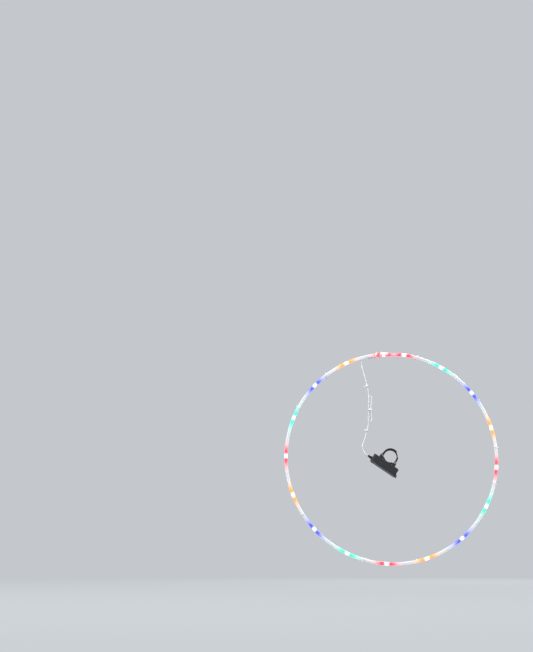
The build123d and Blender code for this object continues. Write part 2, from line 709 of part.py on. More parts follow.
def pack_lid():
    """The fixed lid over the circuit, with the button's bore, the latch's track and two screw seats."""
    lid = block((lid_x0, pack_l / 2), about(0, pack_w), (rim_z, top_z))
    lid = fillet(lid.edges().filter_by(Axis.Z).group_by(Axis.X)[-1], PACK_CORNER)
    over = top_z + CUT_OVER
    lid -= rod_z(BUTTON_D + 2 * BUTTON_FIT, circuit_x, button_y, rim_z - CUT_OVER, over)
    track_x = (lid_x0 - CUT_OVER, lid_x0 + LATCH_BODY_L + LATCH_TRAVEL + LATCH_SIDE_GAP)
    lid -= block(track_x, about(LATCH_Y, LATCH_W + 2 * LATCH_SIDE_GAP), (top_z - LATCH_T - LATCH_GAP, over))
    stem_x = lid_x0 + LATCH_STEM_SETBACK
    slot_x = (stem_x - LATCH_GAP, stem_x + LATCH_STEM_L + LATCH_TRAVEL + LATCH_GAP)
    lid -= block(slot_x, about(LATCH_Y, LATCH_STEM_W + 2 * LATCH_GAP), (rim_z - CUT_OVER, over))
    for side in (-1, 1):
        lid -= rod_z(SCREW_PASS_D, circuit_x, side * screw_y, rim_z - CUT_OVER, over)
        seat = Cone(SCREW_D / 2, SCREW_HEAD_D / 2, SCREW_HEAD_H)
        lid -= Pos(circuit_x, side * screw_y, top_z - SCREW_HEAD_H / 2) * seat
    return lid


def cover_latch():
    """The thumb slide: a pad with ridges, its tongue over the cover's lip, a stem and a foot."""
    low = top_z - LATCH_T
    pad = block((cover_x1 - LATCH_BITE, lid_x0 + LATCH_BODY_L), about(LATCH_Y, LATCH_W), (low, top_z))
    for number in range(LATCH_RIDGES):
        ridge_x = about(lid_x0 + LATCH_RIDGE_PITCH * (number + 1), LATCH_RIDGE_W)
        pad += block(ridge_x, about(LATCH_Y, LATCH_W * 3 / 4), (top_z - TOUCH_GAP, top_z + LATCH_RIDGE_H))
    stem_x = lid_x0 + LATCH_STEM_SETBACK
    foot_top = rim_z - LATCH_GAP
    stem_z = (foot_top - LATCH_FOOT_T, top_z)
    pad += block((stem_x, stem_x + LATCH_STEM_L), about(LATCH_Y, LATCH_STEM_W), stem_z)
    foot_x = about(stem_x + LATCH_STEM_L / 2, LATCH_FOOT_L)
    return pad + block(foot_x, about(LATCH_Y, LATCH_FOOT_W), (foot_top - LATCH_FOOT_T, foot_top))


def button_levels():
    """The levels of the button: plunger top, flange underside, flange top and crown."""
    plunger_top = board_z + BOARD_T + SWITCH_H + PLUNGER_PROUD
    flange_top = rim_z - TOUCH_GAP
    return plunger_top, flange_top - BUTTON_FLANGE_T, flange_top, top_z + BUTTON_PROUD


def power_button():
    """The button: a rounded cap, the flange that keeps it in, and the stem that reaches the switch."""
    plunger_top, flange_low, flange_top, crown = button_levels()
    cap = rod_z(BUTTON_D, circuit_x, button_y, flange_low, crown)
    cap = fillet(cap.edges().filter_by(GeomType.CIRCLE).sort_by(Axis.Z)[-1], BUTTON_EDGE)
    cap += rod_z(BUTTON_FLANGE_D, circuit_x, button_y, flange_low, flange_top)
    return cap + rod_z(BUTTON_STEM_D, circuit_x, button_y, plunger_top + TOUCH_GAP, flange_low)


def switch_plunger():
    """The part of the switch that the button pushes."""
    plunger_top = button_levels()[0]
    return rod_z(PLUNGER_D, circuit_x, button_y, plunger_top - PLUNGER_L, plunger_top)


def switch_body():
    """The switch on its board, with the well that the plunger sinks in."""
    low = board_z + BOARD_T
    body = block(about(circuit_x, SWITCH_W), about(button_y, SWITCH_W), (low, low + SWITCH_H))
    well_low = button_levels()[0] - PLUNGER_L - BUTTON_TRAVEL - PLUNGER_FIT
    return body - rod_z(PLUNGER_D + 2 * PLUNGER_FIT, circuit_x, button_y, well_low, low + SWITCH_H + CUT_OVER)


def circuit_board():
    """The board on its ledges."""
    width = CIRCUIT_BAY_L - 2 * BOARD_GAP
    return block(about(circuit_x, width), about(0, board_w), (board_z, board_z + BOARD_T))


def board_parts():
    """The control chip and the can capacitor, on the board."""
    low = board_z + BOARD_T
    chip = block(about(circuit_x, CHIP_W), about(chip_y, CHIP_L), (low, low + CHIP_H))
    return [chip, rod_z(CAN_D, circuit_x, can_y, low, low + CAN_H)]


def lid_screws():
    """Two countersunk screws through the lid into their bosses."""
    screws = []
    for side in (-1, 1):
        top = top_z - SCREW_SINK
        shank = rod_z(SCREW_D - 2 * SCREW_SINK, circuit_x, side * screw_y, top - SCREW_L, top - SCREW_HEAD_H)
        head = Cone(SCREW_D / 2 - SCREW_SINK, SCREW_HEAD_D / 2 - 2 * SCREW_SINK, SCREW_HEAD_H)
        screw = shank + Pos(circuit_x, side * screw_y, top - SCREW_HEAD_H / 2) * head
        for turn in (0, 90):
            slot = Box(SCREW_HEAD_D / 2, SCREW_HEAD_D / 6, 2 * SCREW_RECESS)
            screw -= Pos(circuit_x, side * screw_y, top) * Rot(0, 0, turn) * slot
        screws.append(screw)
    return screws


def cell_y(number):
    """Where one cell lies across the pack."""
    return (number - (CELL_COUNT - 1) / 2) * cell_pitch


def faces_hinge(number):
    """Whether a cell's nub points to the hinge end; the cells lie head to tail."""
    return number % 2 == 1


def battery(number):
    """One cell, its nub against a contact plate and its flat end against a spring."""
    can = rod_x(CELL_D, 0, CELL_L - NUB_L)
    can = fillet(can.edges().filter_by(GeomType.CIRCLE), CELL_EDGE)
    can += rod_x(NUB_D, CELL_L - NUB_L - CELL_EDGE, CELL_L)
    wall_gap = PLATE_GAP + PLATE_T + TOUCH_GAP
    if faces_hinge(number):
        return Pos(bay_x0 + wall_gap + CELL_L, cell_y(number), cell_z) * Rot(0, 0, HALF_TURN) * can
    return Pos(bay_x1 - wall_gap - CELL_L, cell_y(number), cell_z) * can


def contact_plates():
    """Two single plates and two that join neighbouring cells, upright against the bay's ends."""
    groups = ((0,), (1, 2)), ((0, 1), (2,))
    plates = []
    for side, group in enumerate(groups):
        wall = bay_x1 - PLATE_GAP - PLATE_T if side else bay_x0 + PLATE_GAP
        for cells in group:
            places = [cell_y(number) for number in cells]
            span = (min(places) - PLATE_W / 2, max(places) + PLATE_W / 2)
            plates.append(block((wall, wall + PLATE_T), span, about(cell_z, PLATE_H)))
    return plates


def contact_spring():
    """One conical coil along X, from its plate at zero to the cell's flat end."""
    rise = SPRING_L - SPRING_WIRE - 2 * TOUCH_GAP
    steps = 4 * SPRING_TURNS

    def place(step):
        share = step / steps
        radius = (SPRING_BASE_D + (SPRING_TIP_D - SPRING_BASE_D) * share - SPRING_WIRE) / 2
        turn = math.radians(90 * step)
        height = SPRING_WIRE / 2 + TOUCH_GAP + rise * share
        return Vector(height, radius * math.cos(turn), radius * math.sin(turn))

    def heading(step):
        return (place(step + NUDGE) - place(step - NUDGE)).normalized()

    edges = []
    for step in range(0, steps):
        edges += biarc(place(step), heading(step), place(step + 1), heading(step + 1))
    return round_along(Wire(edges), SPRING_WIRE)


def contact_springs():
    """One spring at the flat end of each cell."""
    coil = contact_spring()
    springs = []
    for number in range(CELL_COUNT):
        if faces_hinge(number):
            springs.append(Pos(bay_x1 - PLATE_GAP - PLATE_T, cell_y(number), cell_z) * Rot(0, 0, HALF_TURN) * coil)
        else:
            springs.append(Pos(bay_x0 + PLATE_GAP + PLATE_T, cell_y(number), cell_z) * coil)
    return springs


def lead_gland():
    """The rubber relief in the end wall: flange inside, neck in the hole, taper outside."""
    wall_x = (circuit_x1, pack_l / 2)
    gland = rod_x(GLAND_NECK_D, wall_x[0] - CUT_OVER / 2, wall_x[1] + CUT_OVER / 2)
    gland += rod_x(GLAND_FLANGE_D, wall_x[0] - GLAND_FIT - GLAND_FLANGE_T, wall_x[0] - GLAND_FIT)
    taper = Cone(GLAND_ROOT_D / 2, GLAND_TIP_D / 2, GLAND_L - GLAND_FIT)
    gland += Pos(wall_x[1] + GLAND_FIT + (GLAND_L - GLAND_FIT) / 2, 0, 0) * Rot(0, 90, 0) * taper
    gland -= rod_x(LEAD_D + 2 * LEAD_GAP, wall_x[0] - GLAND_L, wall_x[1] + 2 * GLAND_L)
    return Pos(0, 0, gland_z) * gland


def on_pack(solids):
    """Pieces of the pack, turned to the pack's place on the hub."""
    if isinstance(solids, list):
        return [at_clock(PACK_CLOCK) * solid for solid in solids]
    return at_clock(PACK_CLOCK) * solids


def write(name, solids):
    """One STEP file for a node, from one solid or a list of separate ones."""
    shape = Compound(children=solids) if isinstance(solids, list) else solids
    export_step(shape, os.path.join("parts", name + ".step"))


def main():
    """Build every node and write it."""
    os.makedirs("parts", exist_ok=True)
    write("light_tube", light_tube())
    write("lamp_wires", lamp_wires())
    for index, colour in enumerate(LAMP_COLOURS):
        write("lamps_" + colour, lamps(index))
    write("end_plug", end_plug())
    write("inlet_cap", inlet_cap())
    write("spoke_ties", spoke_ties())
    write("lead_cable", lead_cable())
    write("lead_ties", lead_ties())
    pack = {
        "hub_pad": hub_pad(),
        "hub_strap": hub_strap(),
        "pack_base": pack_base(),
        "pack_lid": pack_lid(),
        "lid_screws": lid_screws(),
        "battery_cover": battery_cover(),
        "cover_gasket": cover_gasket(),
        "hinge_pin": hinge_pin(),
        "cover_latch": cover_latch(),
        "power_button": power_button(),
        "switch_plunger": switch_plunger(),
        "switch_body": switch_body(),
        "circuit_board": circuit_board(),
        "board_parts": board_parts(),
        "contact_plates": contact_plates(),
        "contact_springs": contact_springs(),
        "lead_gland": lead_gland(),
    }
    for number in range(CELL_COUNT):
        pack["battery_" + str(number + 1)] = battery(number)
    for name, solids in pack.items():
        write(name, on_pack(solids))


main()
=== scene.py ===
"""Looks of a ring of coloured lamps in a clear tube, with its lead, battery pack and strap.

Every length is in metres, in the frame of the CAD part: the origin is the ring's centre, +Y runs along
its axis away from the near side and +Z is up. A clock angle is counted from the top, clockwise as seen
from the near side.
"""

import logging
import math
from dataclasses import dataclass
from enum import Enum

import bmesh
import bpy
from bpy.types import Material, Node, NodeOutputs, NodeSocket, NodeTree, Object
from mathutils import Matrix, Vector


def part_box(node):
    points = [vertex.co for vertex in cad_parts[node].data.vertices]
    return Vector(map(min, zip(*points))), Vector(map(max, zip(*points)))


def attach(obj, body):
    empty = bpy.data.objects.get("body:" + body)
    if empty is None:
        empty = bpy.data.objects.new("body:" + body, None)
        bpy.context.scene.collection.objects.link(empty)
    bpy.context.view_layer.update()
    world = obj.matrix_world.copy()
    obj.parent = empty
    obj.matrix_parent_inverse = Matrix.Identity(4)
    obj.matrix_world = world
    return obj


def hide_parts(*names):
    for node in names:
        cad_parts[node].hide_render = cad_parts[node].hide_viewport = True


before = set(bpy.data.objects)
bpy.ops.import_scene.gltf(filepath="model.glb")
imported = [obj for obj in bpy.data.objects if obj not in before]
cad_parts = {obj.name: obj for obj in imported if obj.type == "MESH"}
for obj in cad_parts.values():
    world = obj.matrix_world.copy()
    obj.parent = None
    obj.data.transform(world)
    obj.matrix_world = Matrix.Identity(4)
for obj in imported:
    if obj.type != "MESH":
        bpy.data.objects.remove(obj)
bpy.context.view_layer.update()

log = logging.getLogger("wheel_light")
MM = 0.001
PHOTO_HEIGHT_PX = 652
WHITE = (1.0, 1.0, 1.0, 1.0)
Pair = tuple[float, float]
Triple = tuple[float, float, float]
# A ball one unit across with few faces, because it is repeated.
SMALL_BALL = {"Segments": 8, "Rings": 6, "Radius": 0.5}


class LampColour(Enum):
    """The lamps' colours in their order round the ring, with the colour that each one glows in."""

    RED = ("red", "#FF0A38")
    GREEN = ("green", "#00E0A8")
    BLUE = ("blue", "#0C2CFF")
    ORANGE = ("orange", "#FF8C00")


class Shape(Enum):
    """What a repeated small piece is: a square-edged block or a rounded grain."""

    BLOCK = "block"
    GRAIN = "grain"


def linear(hex_colour: str) -> tuple[float, float, float, float]:
    """Turns an sRGB hex value into the linear colour that a shader takes.

    Args:
        hex_colour: The colour as "#RRGGBB".

    Returns:
        Linear red, green and blue, and an alpha of 1.
    """
    full, toe, slope, offset, power = 255, 0.04045, 12.92, 0.055, 2.4
    shares = [int(hex_colour[i : i + 2], 16) / full for i in (1, 3, 5)]
    bent = [s / slope if s <= toe else ((s + offset) / (1 + offset)) ** power for s in shares]
    return (*bent, 1.0)


def add_node(tree: NodeTree, kind: str, inputs: dict | None = None, **settings: object) -> Node:
    """Adds one node to a shader or geometry tree.

    Where a node has several sockets of one name, the one that its settings put in use counts.

    Args:
        tree: The tree that the node goes into.
        kind: The node's type name.
        inputs: What each input gets, by its name or number: a socket to link, a node whose first output
            in use is linked, or a plain value.
        **settings: The node's own properties.

    Returns:
        The new node.
    """
    node = tree.nodes.new(kind)
    for name, value in settings.items():
        setattr(node, name, value)
    named = {socket.name: socket for socket in reversed(node.inputs) if socket.enabled}
    for key, value in (inputs or {}).items():
        taker = node.inputs[key] if isinstance(key, int) else named[key]
        if isinstance(value, Node):
            value = next(socket for socket in value.outputs if socket.enabled)
        if isinstance(value, NodeSocket):
            tree.links.new(value, taker)
        else:
            taker.default_value = value
    return node


def formula(tree: NodeTree, value: Node | NodeSocket, *steps: tuple) -> Node:
    """Works out a formula, one Math node for each of its steps.

    Args:
        tree: The tree that the nodes go into.
        value: What the formula starts from.
        *steps: Each step's operation and its operands after the value: sockets, nodes or numbers.

    Returns:
        The node that holds the result.
    """
    for operation, *others in steps:
        operands = dict(enumerate([value, *others]))
        value = add_node(tree, "ShaderNodeMath", operands, operation=operation)
    return value


def new_material(name: str) -> tuple[Material, NodeTree]:
    """Makes an empty material.

    Args:
        name: The finish's plain name.

    Returns:
        The material and its node tree.
    """
    material = bpy.data.materials.new(name)
    material.use_nodes = True
    material.node_tree.nodes.clear()
    return material, material.node_tree


def finished(material: Material, shader: Node) -> Material:
    """Ends a material in the shader that gives its surface."""
    add_node(material.node_tree, "ShaderNodeOutputMaterial", {"Surface": shader})
    return material


def object_place(tree: NodeTree) -> NodeSocket:
    """The shaded point in the part's own frame, in metres."""
    return add_node(tree, "ShaderNodeTexCoord").outputs["Object"]


def placed(name: str, data: bpy.types.ID) -> Object:
    """Puts a new object into the scene, at the origin.

    Args:
        name: The object's name.
        data: Its mesh, light or camera.

    Returns:
        The object.
    """
    thing = bpy.data.objects.new(name, data)
    bpy.context.scene.collection.objects.link(thing)
    return thing


# Finishes


@dataclass(frozen=True)
class Moulded:
    """A moulded plastic, rubber or resin in one colour, with the fine grain of its mould.

    The grain scatters the highlight, so a spark-eroded ABS face looks dry beside a polished one.
    Handling leaves it a little uneven in tone and gloss, and a moulded edge is never quite sharp.
    """

    name: str
    colour: str
    roughness: float = 0.5
    grain: float = 0.35 * MM
    grain_detail: float = 2.0
    relief: float = 0.0
    ior: float = 1.49
    alpha: float = 1.0
    coat: float = 0.0
    patch: float = 7 * MM
    patch_detail: float = 4.0
    mottle: float = 0.25
    uneven_gloss: float = 0.12
    edge: float = 0.0
    edge_samples: int = 4

    def material(self) -> Material:
        """Builds the finish.

        Returns:
            The material.
        """
        material, tree = new_material(self.name)
        place, light = object_place(tree), linear(self.colour)
        noise = {"Vector": place, "Scale": 1 / self.patch, "Detail": self.patch_detail}
        patches = add_node(tree, "ShaderNodeTexNoise", noise)
        dark = (*(share * (1 - self.mottle) for share in light[:3]), 1.0)
        tones = {"Factor": patches, "A": dark, "B": light}
        half = self.uneven_gloss / 2
        gloss = {"Value": patches, "To Min": self.roughness - half, "To Max": self.roughness + half}
        inputs = {
            "Base Color": add_node(tree, "ShaderNodeMix", tones, data_type="RGBA"),
            "Roughness": add_node(tree, "ShaderNodeMapRange", gloss),
            "IOR": self.ior,
            "Alpha": self.alpha,
            "Coat Weight": self.coat,
        }
        if self.edge:
            rounding = {"Radius": self.edge}
            inputs["Normal"] = add_node(tree, "ShaderNodeBevel", rounding, samples=self.edge_samples)
        if self.relief:
            sparks = {"Vector": place, "Scale": 1 / self.grain, "Detail": self.grain_detail}
            grain = {"Height": add_node(tree, "ShaderNodeTexNoise", sparks), "Distance": self.relief}
            if self.edge:
                grain["Normal"] = inputs["Normal"]
            inputs["Normal"] = add_node(tree, "ShaderNodeBump", grain)
        return finished(material, add_node(tree, "ShaderNodeBsdfPrincipled", inputs))


@dataclass(frozen=True)
class Metal:
    """A plated metal: its colour is its reflection, and handling leaves the plating a little cloudy."""

    name: str
    colour: str
    roughness: float
    cloud: float = 1.5 * MM
    cloud_detail: float = 5.0
    cloudiness: float = 0.14

    def material(self) -> Material:
        """Builds the finish.

        Returns:
            The material.
        """
        material, tree = new_material(self.name)
        noise = {"Vector": object_place(tree), "Scale": 1 / self.cloud, "Detail": self.cloud_detail}
        clouds = add_node(tree, "ShaderNodeTexNoise", noise)
        dull = {"Value": clouds, "To Min": self.roughness, "To Max": self.roughness + self.cloudiness}
        inputs = {
            "Base Color": linear(self.colour),
            "Metallic": 1.0,
            "Roughness": add_node(tree, "ShaderNodeMapRange", dull),
        }
        return finished(material, add_node(tree, "ShaderNodeBsdfPrincipled", inputs))


@dataclass(frozen=True)
class LampGlow:
    """The light that each lamp throws into the clear plastic around it, by its place on the ring."""

    first: float
    step: float
    half_gap: float
    pitch: float
    reach: float = 31 * MM
    softness: float = 3.0
    core: float = 5.5 * MM
    core_softness: float = 2.2
    whiteness: float = 0.9
    band_middle: float = 0.5

    def fading(self, tree: NodeTree, away: Node, reach: float, softness: float) -> Node:
        """The share left of a light that fades along the tube. A higher softness ends it steeply."""
        spread = ("DIVIDE", reach / self.pitch), ("POWER", softness)
        return formula(tree, away, *spread, ("MULTIPLY", -1.0), ("EXPONENT",))

    def shine(self, tree: NodeTree) -> tuple[Node, Node, Node]:
        """Builds the glow's colour and strength.

        Args:
            tree: The material's tree.

        Returns:
            The colour of the light, how strongly it reaches here, and how white hot it is, from 0 to 1.
        """
        place = add_node(tree, "ShaderNodeSeparateXYZ", {0: object_place(tree)}).outputs
        past_seam = ("SUBTRACT", self.first - self.half_gap), ("WRAP", 2 * math.pi, 0.0)
        turned = formula(tree, place["X"], ("ARCTAN2", place["Z"]), *past_seam)
        phase = formula(tree, turned, ("SUBTRACT", self.half_gap), ("DIVIDE", self.step))
        number = formula(tree, phase, ("ROUND",))
        away = formula(tree, phase, ("SUBTRACT", number), ("ABSOLUTE",))
        strength = self.fading(tree, away, self.reach, self.softness)
        heat = self.fading(tree, away, self.core, self.core_softness)
        colours = [linear(hue) for _, hue in (colour.value for colour in LampColour)]
        count = float(len(colours))
        in_turn = ("ADD", self.band_middle), ("MODULO", count), ("DIVIDE", count)
        ramp = add_node(tree, "ShaderNodeValToRGB", {0: formula(tree, number, *in_turn)})
        ramp.color_ramp.interpolation = "CONSTANT"
        stops = ramp.color_ramp.elements
        for index, colour in enumerate(colours):
            stop = stops[0] if index == 0 else stops.new(index / count)
            stop.position = index / count
            stop.color = colour
        # The stop at the far end came with the ramp.
        stops.remove(stops[-1])
        whitened = formula(tree, heat, ("MULTIPLY", self.whiteness))
        heated = {"Factor": whitened, "A": ramp, "B": WHITE}
        light = add_node(tree, "ShaderNodeMix", heated, data_type="RGBA")
        return light, strength, heat


@dataclass(frozen=True)
class ClearTube:
    """Clear flexible PVC, extruded: see-through face on, and bright along its edges.

    An edge is seen through more of the wall, which scatters the light of the lamp beside it. That light
    fades along the tube, and a little of all of it runs on to the next lamp.
    """

    name: str
    colour: str
    glow: LampGlow
    face_alpha: float = 0.2
    edge_alpha: float = 0.95
    edge_blend: float = 0.4
    glow_alpha: float = 0.92
    stray_strength: float = 0.3
    glow_strength: float = 0.75
    core_strength: float = 0.5
    roughness: float = 0.24
    ior: float = 1.53

    def material(self) -> Material:
        """Builds the finish.

        Returns:
            The material.
        """
        material, tree = new_material(self.name)
        light, reach, heat = self.glow.shine(tree)
        edge = add_node(tree, "ShaderNodeLayerWeight", {"Blend": self.edge_blend}).outputs["Facing"]
        wall = {"Value": edge, "To Min": self.face_alpha, "To Max": self.edge_alpha}
        clear = add_node(tree, "ShaderNodeMapRange", wall)
        stained = {"Factor": reach, "A": linear(self.colour), "B": light}
        tint = add_node(tree, "ShaderNodeMix", stained, data_type="RGBA")
        soft = formula(tree, reach, ("MULTIPLY_ADD", self.glow_strength, self.stray_strength))
        inputs = {
            "Base Color": tint,
            "Roughness": self.roughness,
            "IOR": self.ior,
            "Alpha": formula(tree, reach, ("MULTIPLY", self.glow_alpha), ("MAXIMUM", clear)),
            "Emission Color": tint,
            "Emission Strength": formula(tree, heat, ("MULTIPLY_ADD", self.core_strength, soft)),
        }
        return finished(material, add_node(tree, "ShaderNodeBsdfPrincipled", inputs))


@dataclass(frozen=True)
class LitResin:
    """Clear epoxy over a lit chip: white hot at the chip, and full of its colour away from it."""

    name: str
    colour: str
    glow: LampGlow
    strength: float
    alpha: float = 1.0
    core_share: float = 0.5
    roughness: float = 0.12
    ior: float = 1.54

    def material(self) -> Material:
        """Builds the finish.

        Returns:
            The material.
        """
        material, tree = new_material(self.name)
        light, _, heat = self.glow.shine(tree)
        core = self.strength * self.core_share
        inputs = {
            "Base Color": linear(self.colour),
            "Roughness": self.roughness,
            "IOR": self.ior,
            "Alpha": self.alpha,
            "Emission Color": light,
            "Emission Strength": formula(tree, heat, ("MULTIPLY_ADD", core, self.strength - core)),
        }
        return finished(material, add_node(tree, "ShaderNodeBsdfPrincipled", inputs))


@dataclass(frozen=True)
class Webbing:
    """Woven hook and loop tape: soft, dull, with the rows of its weave and a firm selvedge.

    A real thread is 0.3 mm across, which no render here would show, so the weave is drawn at 1 mm.
    """

    name: str
    colour: str
    edge_colour: str
    half_width: float
    thread: float = 1.0 * MM
    selvedge: float = 1.6 * MM
    relief: float = 0.25 * MM
    relief_strength: float = 0.8
    pile: float = 0.5 * MM
    pile_detail: float = 3.0
    # Darkening of the weave's sunk rows: painted shade in the grooves between threads.
    painted_groove_shade: float = 0.2
    roughness: float = 0.9
    sheen: float = 0.3

    def material(self) -> Material:
        """Builds the finish.

        Returns:
            The material.
        """
        material, tree = new_material(self.name)
        surface_place = add_node(tree, "ShaderNodeAttribute", attribute_name="weave").outputs["Vector"]
        place = add_node(tree, "ShaderNodeSeparateXYZ", {0: surface_place}).outputs
        waves = ("MULTIPLY", 2 * math.pi / self.thread), ("SINE",)
        weft, warp = (formula(tree, place[axis], *waves) for axis in "XY")
        fuzz = {"Vector": surface_place, "Scale": 1 / self.pile, "Detail": self.pile_detail}
        weave = formula(tree, weft, ("MULTIPLY_ADD", warp, add_node(tree, "ShaderNodeTexNoise", fuzz)))
        rows = {"Height": weave, "Distance": self.relief, "Strength": self.relief_strength}
        margin = self.half_width - self.selvedge
        at_edge = formula(tree, place["Y"], ("ABSOLUTE",), ("GREATER_THAN", margin))
        threads = {"Factor": at_edge, "A": linear(self.colour), "B": linear(self.edge_colour)}
        dyed = add_node(tree, "ShaderNodeMix", threads, data_type="RGBA")
        # Darker where the weave sinks: painted shade in its grooves, over the bump's own shading.
        painted_shade_factor = formula(tree, weave, ("MULTIPLY_ADD", self.painted_groove_shade, 1 - self.painted_groove_shade))
        shaded = {0: dyed, "Scale": painted_shade_factor}
        inputs = {
            "Base Color": add_node(tree, "ShaderNodeVectorMath", shaded, operation="SCALE"),
            "Roughness": self.roughness,
            "Sheen Weight": self.sheen,
            "Normal": add_node(tree, "ShaderNodeBump", rows),
        }
        return finished(material, add_node(tree, "ShaderNodeBsdfPrincipled", inputs))


@dataclass(frozen=True)
class CellWrap:
    """A plain shrink-wrapped cell: a glossy sleeve with a band at one end, and bare steel at both."""

    name: str
    along: Vector
    middle: float
    half_length: float
    nub_first: bool
    sleeve: str = "#45586B"
    band: str = "#CDD2D6"
    steel: str = "#C9CBCC"
    bare: float = 0.35 * MM
    band_length: float = 12 * MM
    roughness: float = 0.28

    def material(self) -> Material:
        """Builds the finish.

        Returns:
            The material.
        """
        material, tree = new_material(self.name)
        way = -1 if self.nub_first else 1
        places = {0: object_place(tree), 1: tuple(way * self.along)}
        run = add_node(tree, "ShaderNodeVectorMath", places, operation="DOT_PRODUCT")
        off = formula(tree, run, ("SUBTRACT", way * self.middle))
        in_band = formula(tree, off, ("GREATER_THAN", self.half_length - self.band_length))
        is_bare = formula(tree, off, ("ABSOLUTE",), ("GREATER_THAN", self.half_length - self.bare))
        printed = {"Factor": in_band, "A": linear(self.sleeve), "B": linear(self.band)}
        wrap = add_node(tree, "ShaderNodeMix", printed, data_type="RGBA")
        ends = {"Factor": is_bare, "A": wrap, "B": linear(self.steel)}
        inputs = {
            "Base Color": add_node(tree, "ShaderNodeMix", ends, data_type="RGBA"),
            "Metallic": is_bare,
            "Roughness": self.roughness,
        }
        return finished(material, add_node(tree, "ShaderNodeBsdfPrincipled", inputs))


# Geometry that repeats or follows a path


def tree_with(name: str, sockets: dict[str, str]) -> tuple[NodeTree, NodeOutputs]:
    """Makes an empty geometry tree, which takes a geometry and a material.

    Args:
        name: The tree's name.
        sockets: The type of each other named input.

    Returns:
        The tree and its inputs' sockets.
    """
    tree = bpy.data.node_groups.new(name, "GeometryNodeTree")
    kinds = {"Geometry": "Geometry", **sockets, "Material": "Material"}
    for label, kind in kinds.items():
        tree.interface.new_socket(label, in_out="INPUT", socket_type=f"NodeSocket{kind}")
    tree.interface.new_socket("Geometry", in_out="OUTPUT", socket_type="NodeSocketGeometry")
    return tree, add_node(tree, "NodeGroupInput").outputs


def ended(tree: NodeTree, given: NodeOutputs, made: Node) -> NodeTree:
    """Ends a geometry tree: its instances become real and take its material.

    Args:
        tree: The tree.
        given: Its inputs' sockets.
        made: The node that holds what it has made.

    Returns:
        The tree.
    """
    real = add_node(tree, "GeometryNodeRealizeInstances", {0: made})
    dressed = {"Geometry": real, "Material": given["Material"]}
    add_node(tree, "NodeGroupOutput", {0: add_node(tree, "GeometryNodeSetMaterial", dressed)})
    return tree


def swept(tree: NodeTree, given: NodeOutputs, path: Node, closed: NodeSocket | bool) -> NodeTree:
    """Ends a geometry tree in a smooth round section along its curves.

    Args:
        tree: The tree, with an input for the section's radius and one for its sides.
        given: Its inputs' sockets.
        path: The node that holds the curves.
        closed: Whether an open curve's two ends are closed.

    Returns:
        The tree.
    """
    circle = {"Resolution": given["Sides"], "Radius": given["Section"]}
    section = add_node(tree, "GeometryNodeCurvePrimitiveCircle", circle)
    along = {"Curve": path, "Profile Curve": section, "Fill Caps": closed}
    skin = add_node(tree, "GeometryNodeCurveToMesh", along)
    return ended(tree, given, add_node(tree, "GeometryNodeSetShadeSmooth", {0: skin}))


def ring_tree() -> NodeTree:
    """The tree that sweeps a round section along the ring, and lays its first end behind the last.

    Returns:
        The tree. Its path is worked out from clock angles, so one tree makes the tube and each wire.
    """
    clocks = ["First Clock", "Last Clock", "Swerve First", "Swerve Last"]
    sockets = dict.fromkeys(["Ring Radius", *clocks, "Set Back", "Aside", "Section"], "Float")
    sockets |= {"Steps": "Int", "Sides": "Int", "Ends Closed": "Bool"}
    tree, given = tree_with("round section along the ring", sockets)
    line = add_node(tree, "GeometryNodeCurvePrimitiveLine")
    even = add_node(tree, "GeometryNodeResampleCurve", {"Curve": line, "Count": given["Steps"]})
    share = add_node(tree, "GeometryNodeSplineParameter").outputs["Factor"]
    run = {"Value": share, "To Min": given["First Clock"], "To Max": given["Last Clock"]}
    clock = add_node(tree, "ShaderNodeMapRange", run)
    swerve = {
        "Value": clock,
        "From Min": given["Swerve First"],
        "From Max": given["Swerve Last"],
        "To Min": given["Set Back"],
        "To Max": 0.0,
    }
    back = add_node(tree, "ShaderNodeMapRange", swerve, interpolation_type="SMOOTHSTEP")
    out = ("MULTIPLY", given["Ring Radius"])
    place = {
        "X": formula(tree, clock, ("SINE",), out),
        "Y": formula(tree, back, ("ADD", given["Aside"])),
        "Z": formula(tree, clock, ("COSINE",), out),
    }
    point = add_node(tree, "ShaderNodeCombineXYZ", place)
    path = add_node(tree, "GeometryNodeSetPosition", {"Geometry": even, "Position": point})
    return swept(tree, given, path, given["Ends Closed"])


def rib_tree() -> NodeTree:
    """The tree that sets round ribs along a taper, which starts at the origin and runs up.

    Returns:
        The tree. Its inputs are the taper's radii and length, and the ribs' number, section and facets.
    """
    sockets = dict.fromkeys(["First Radius", "Last Radius", "Length", "Section"], "Float")
    sockets |= dict.fromkeys(["Count", "Steps", "Sides"], "Int")
    tree, given = tree_with("ribs round a taper", sockets)
    points = add_node(tree, "GeometryNodePoints", {"Count": given["Count"]})
    gaps = formula(tree, given["Count"], ("SUBTRACT", 1.0))
    share = formula(tree, add_node(tree, "GeometryNodeInputIndex"), ("DIVIDE", gaps))
    run = formula(tree, share, ("MULTIPLY", given["Length"]))
    place = add_node(tree, "ShaderNodeCombineXYZ", {"Z": run})
    rows = add_node(tree, "GeometryNodeSetPosition", {"Geometry": points, "Position": place})
    taper = {"Value": share, "To Min": given["First Radius"], "To Max": given["Last Radius"]}
    circle = {"Resolution": given["Steps"], "Radius": 1.0}
    rings = {
        "Points": rows,
        "Instance": add_node(tree, "GeometryNodeCurvePrimitiveCircle", circle),
        "Scale": add_node(tree, "ShaderNodeMapRange", taper),
    }
    lines = add_node(tree, "GeometryNodeInstanceOnPoints", rings)
    return swept(tree, given, add_node(tree, "GeometryNodeRealizeInstances", {0: lines}), False)


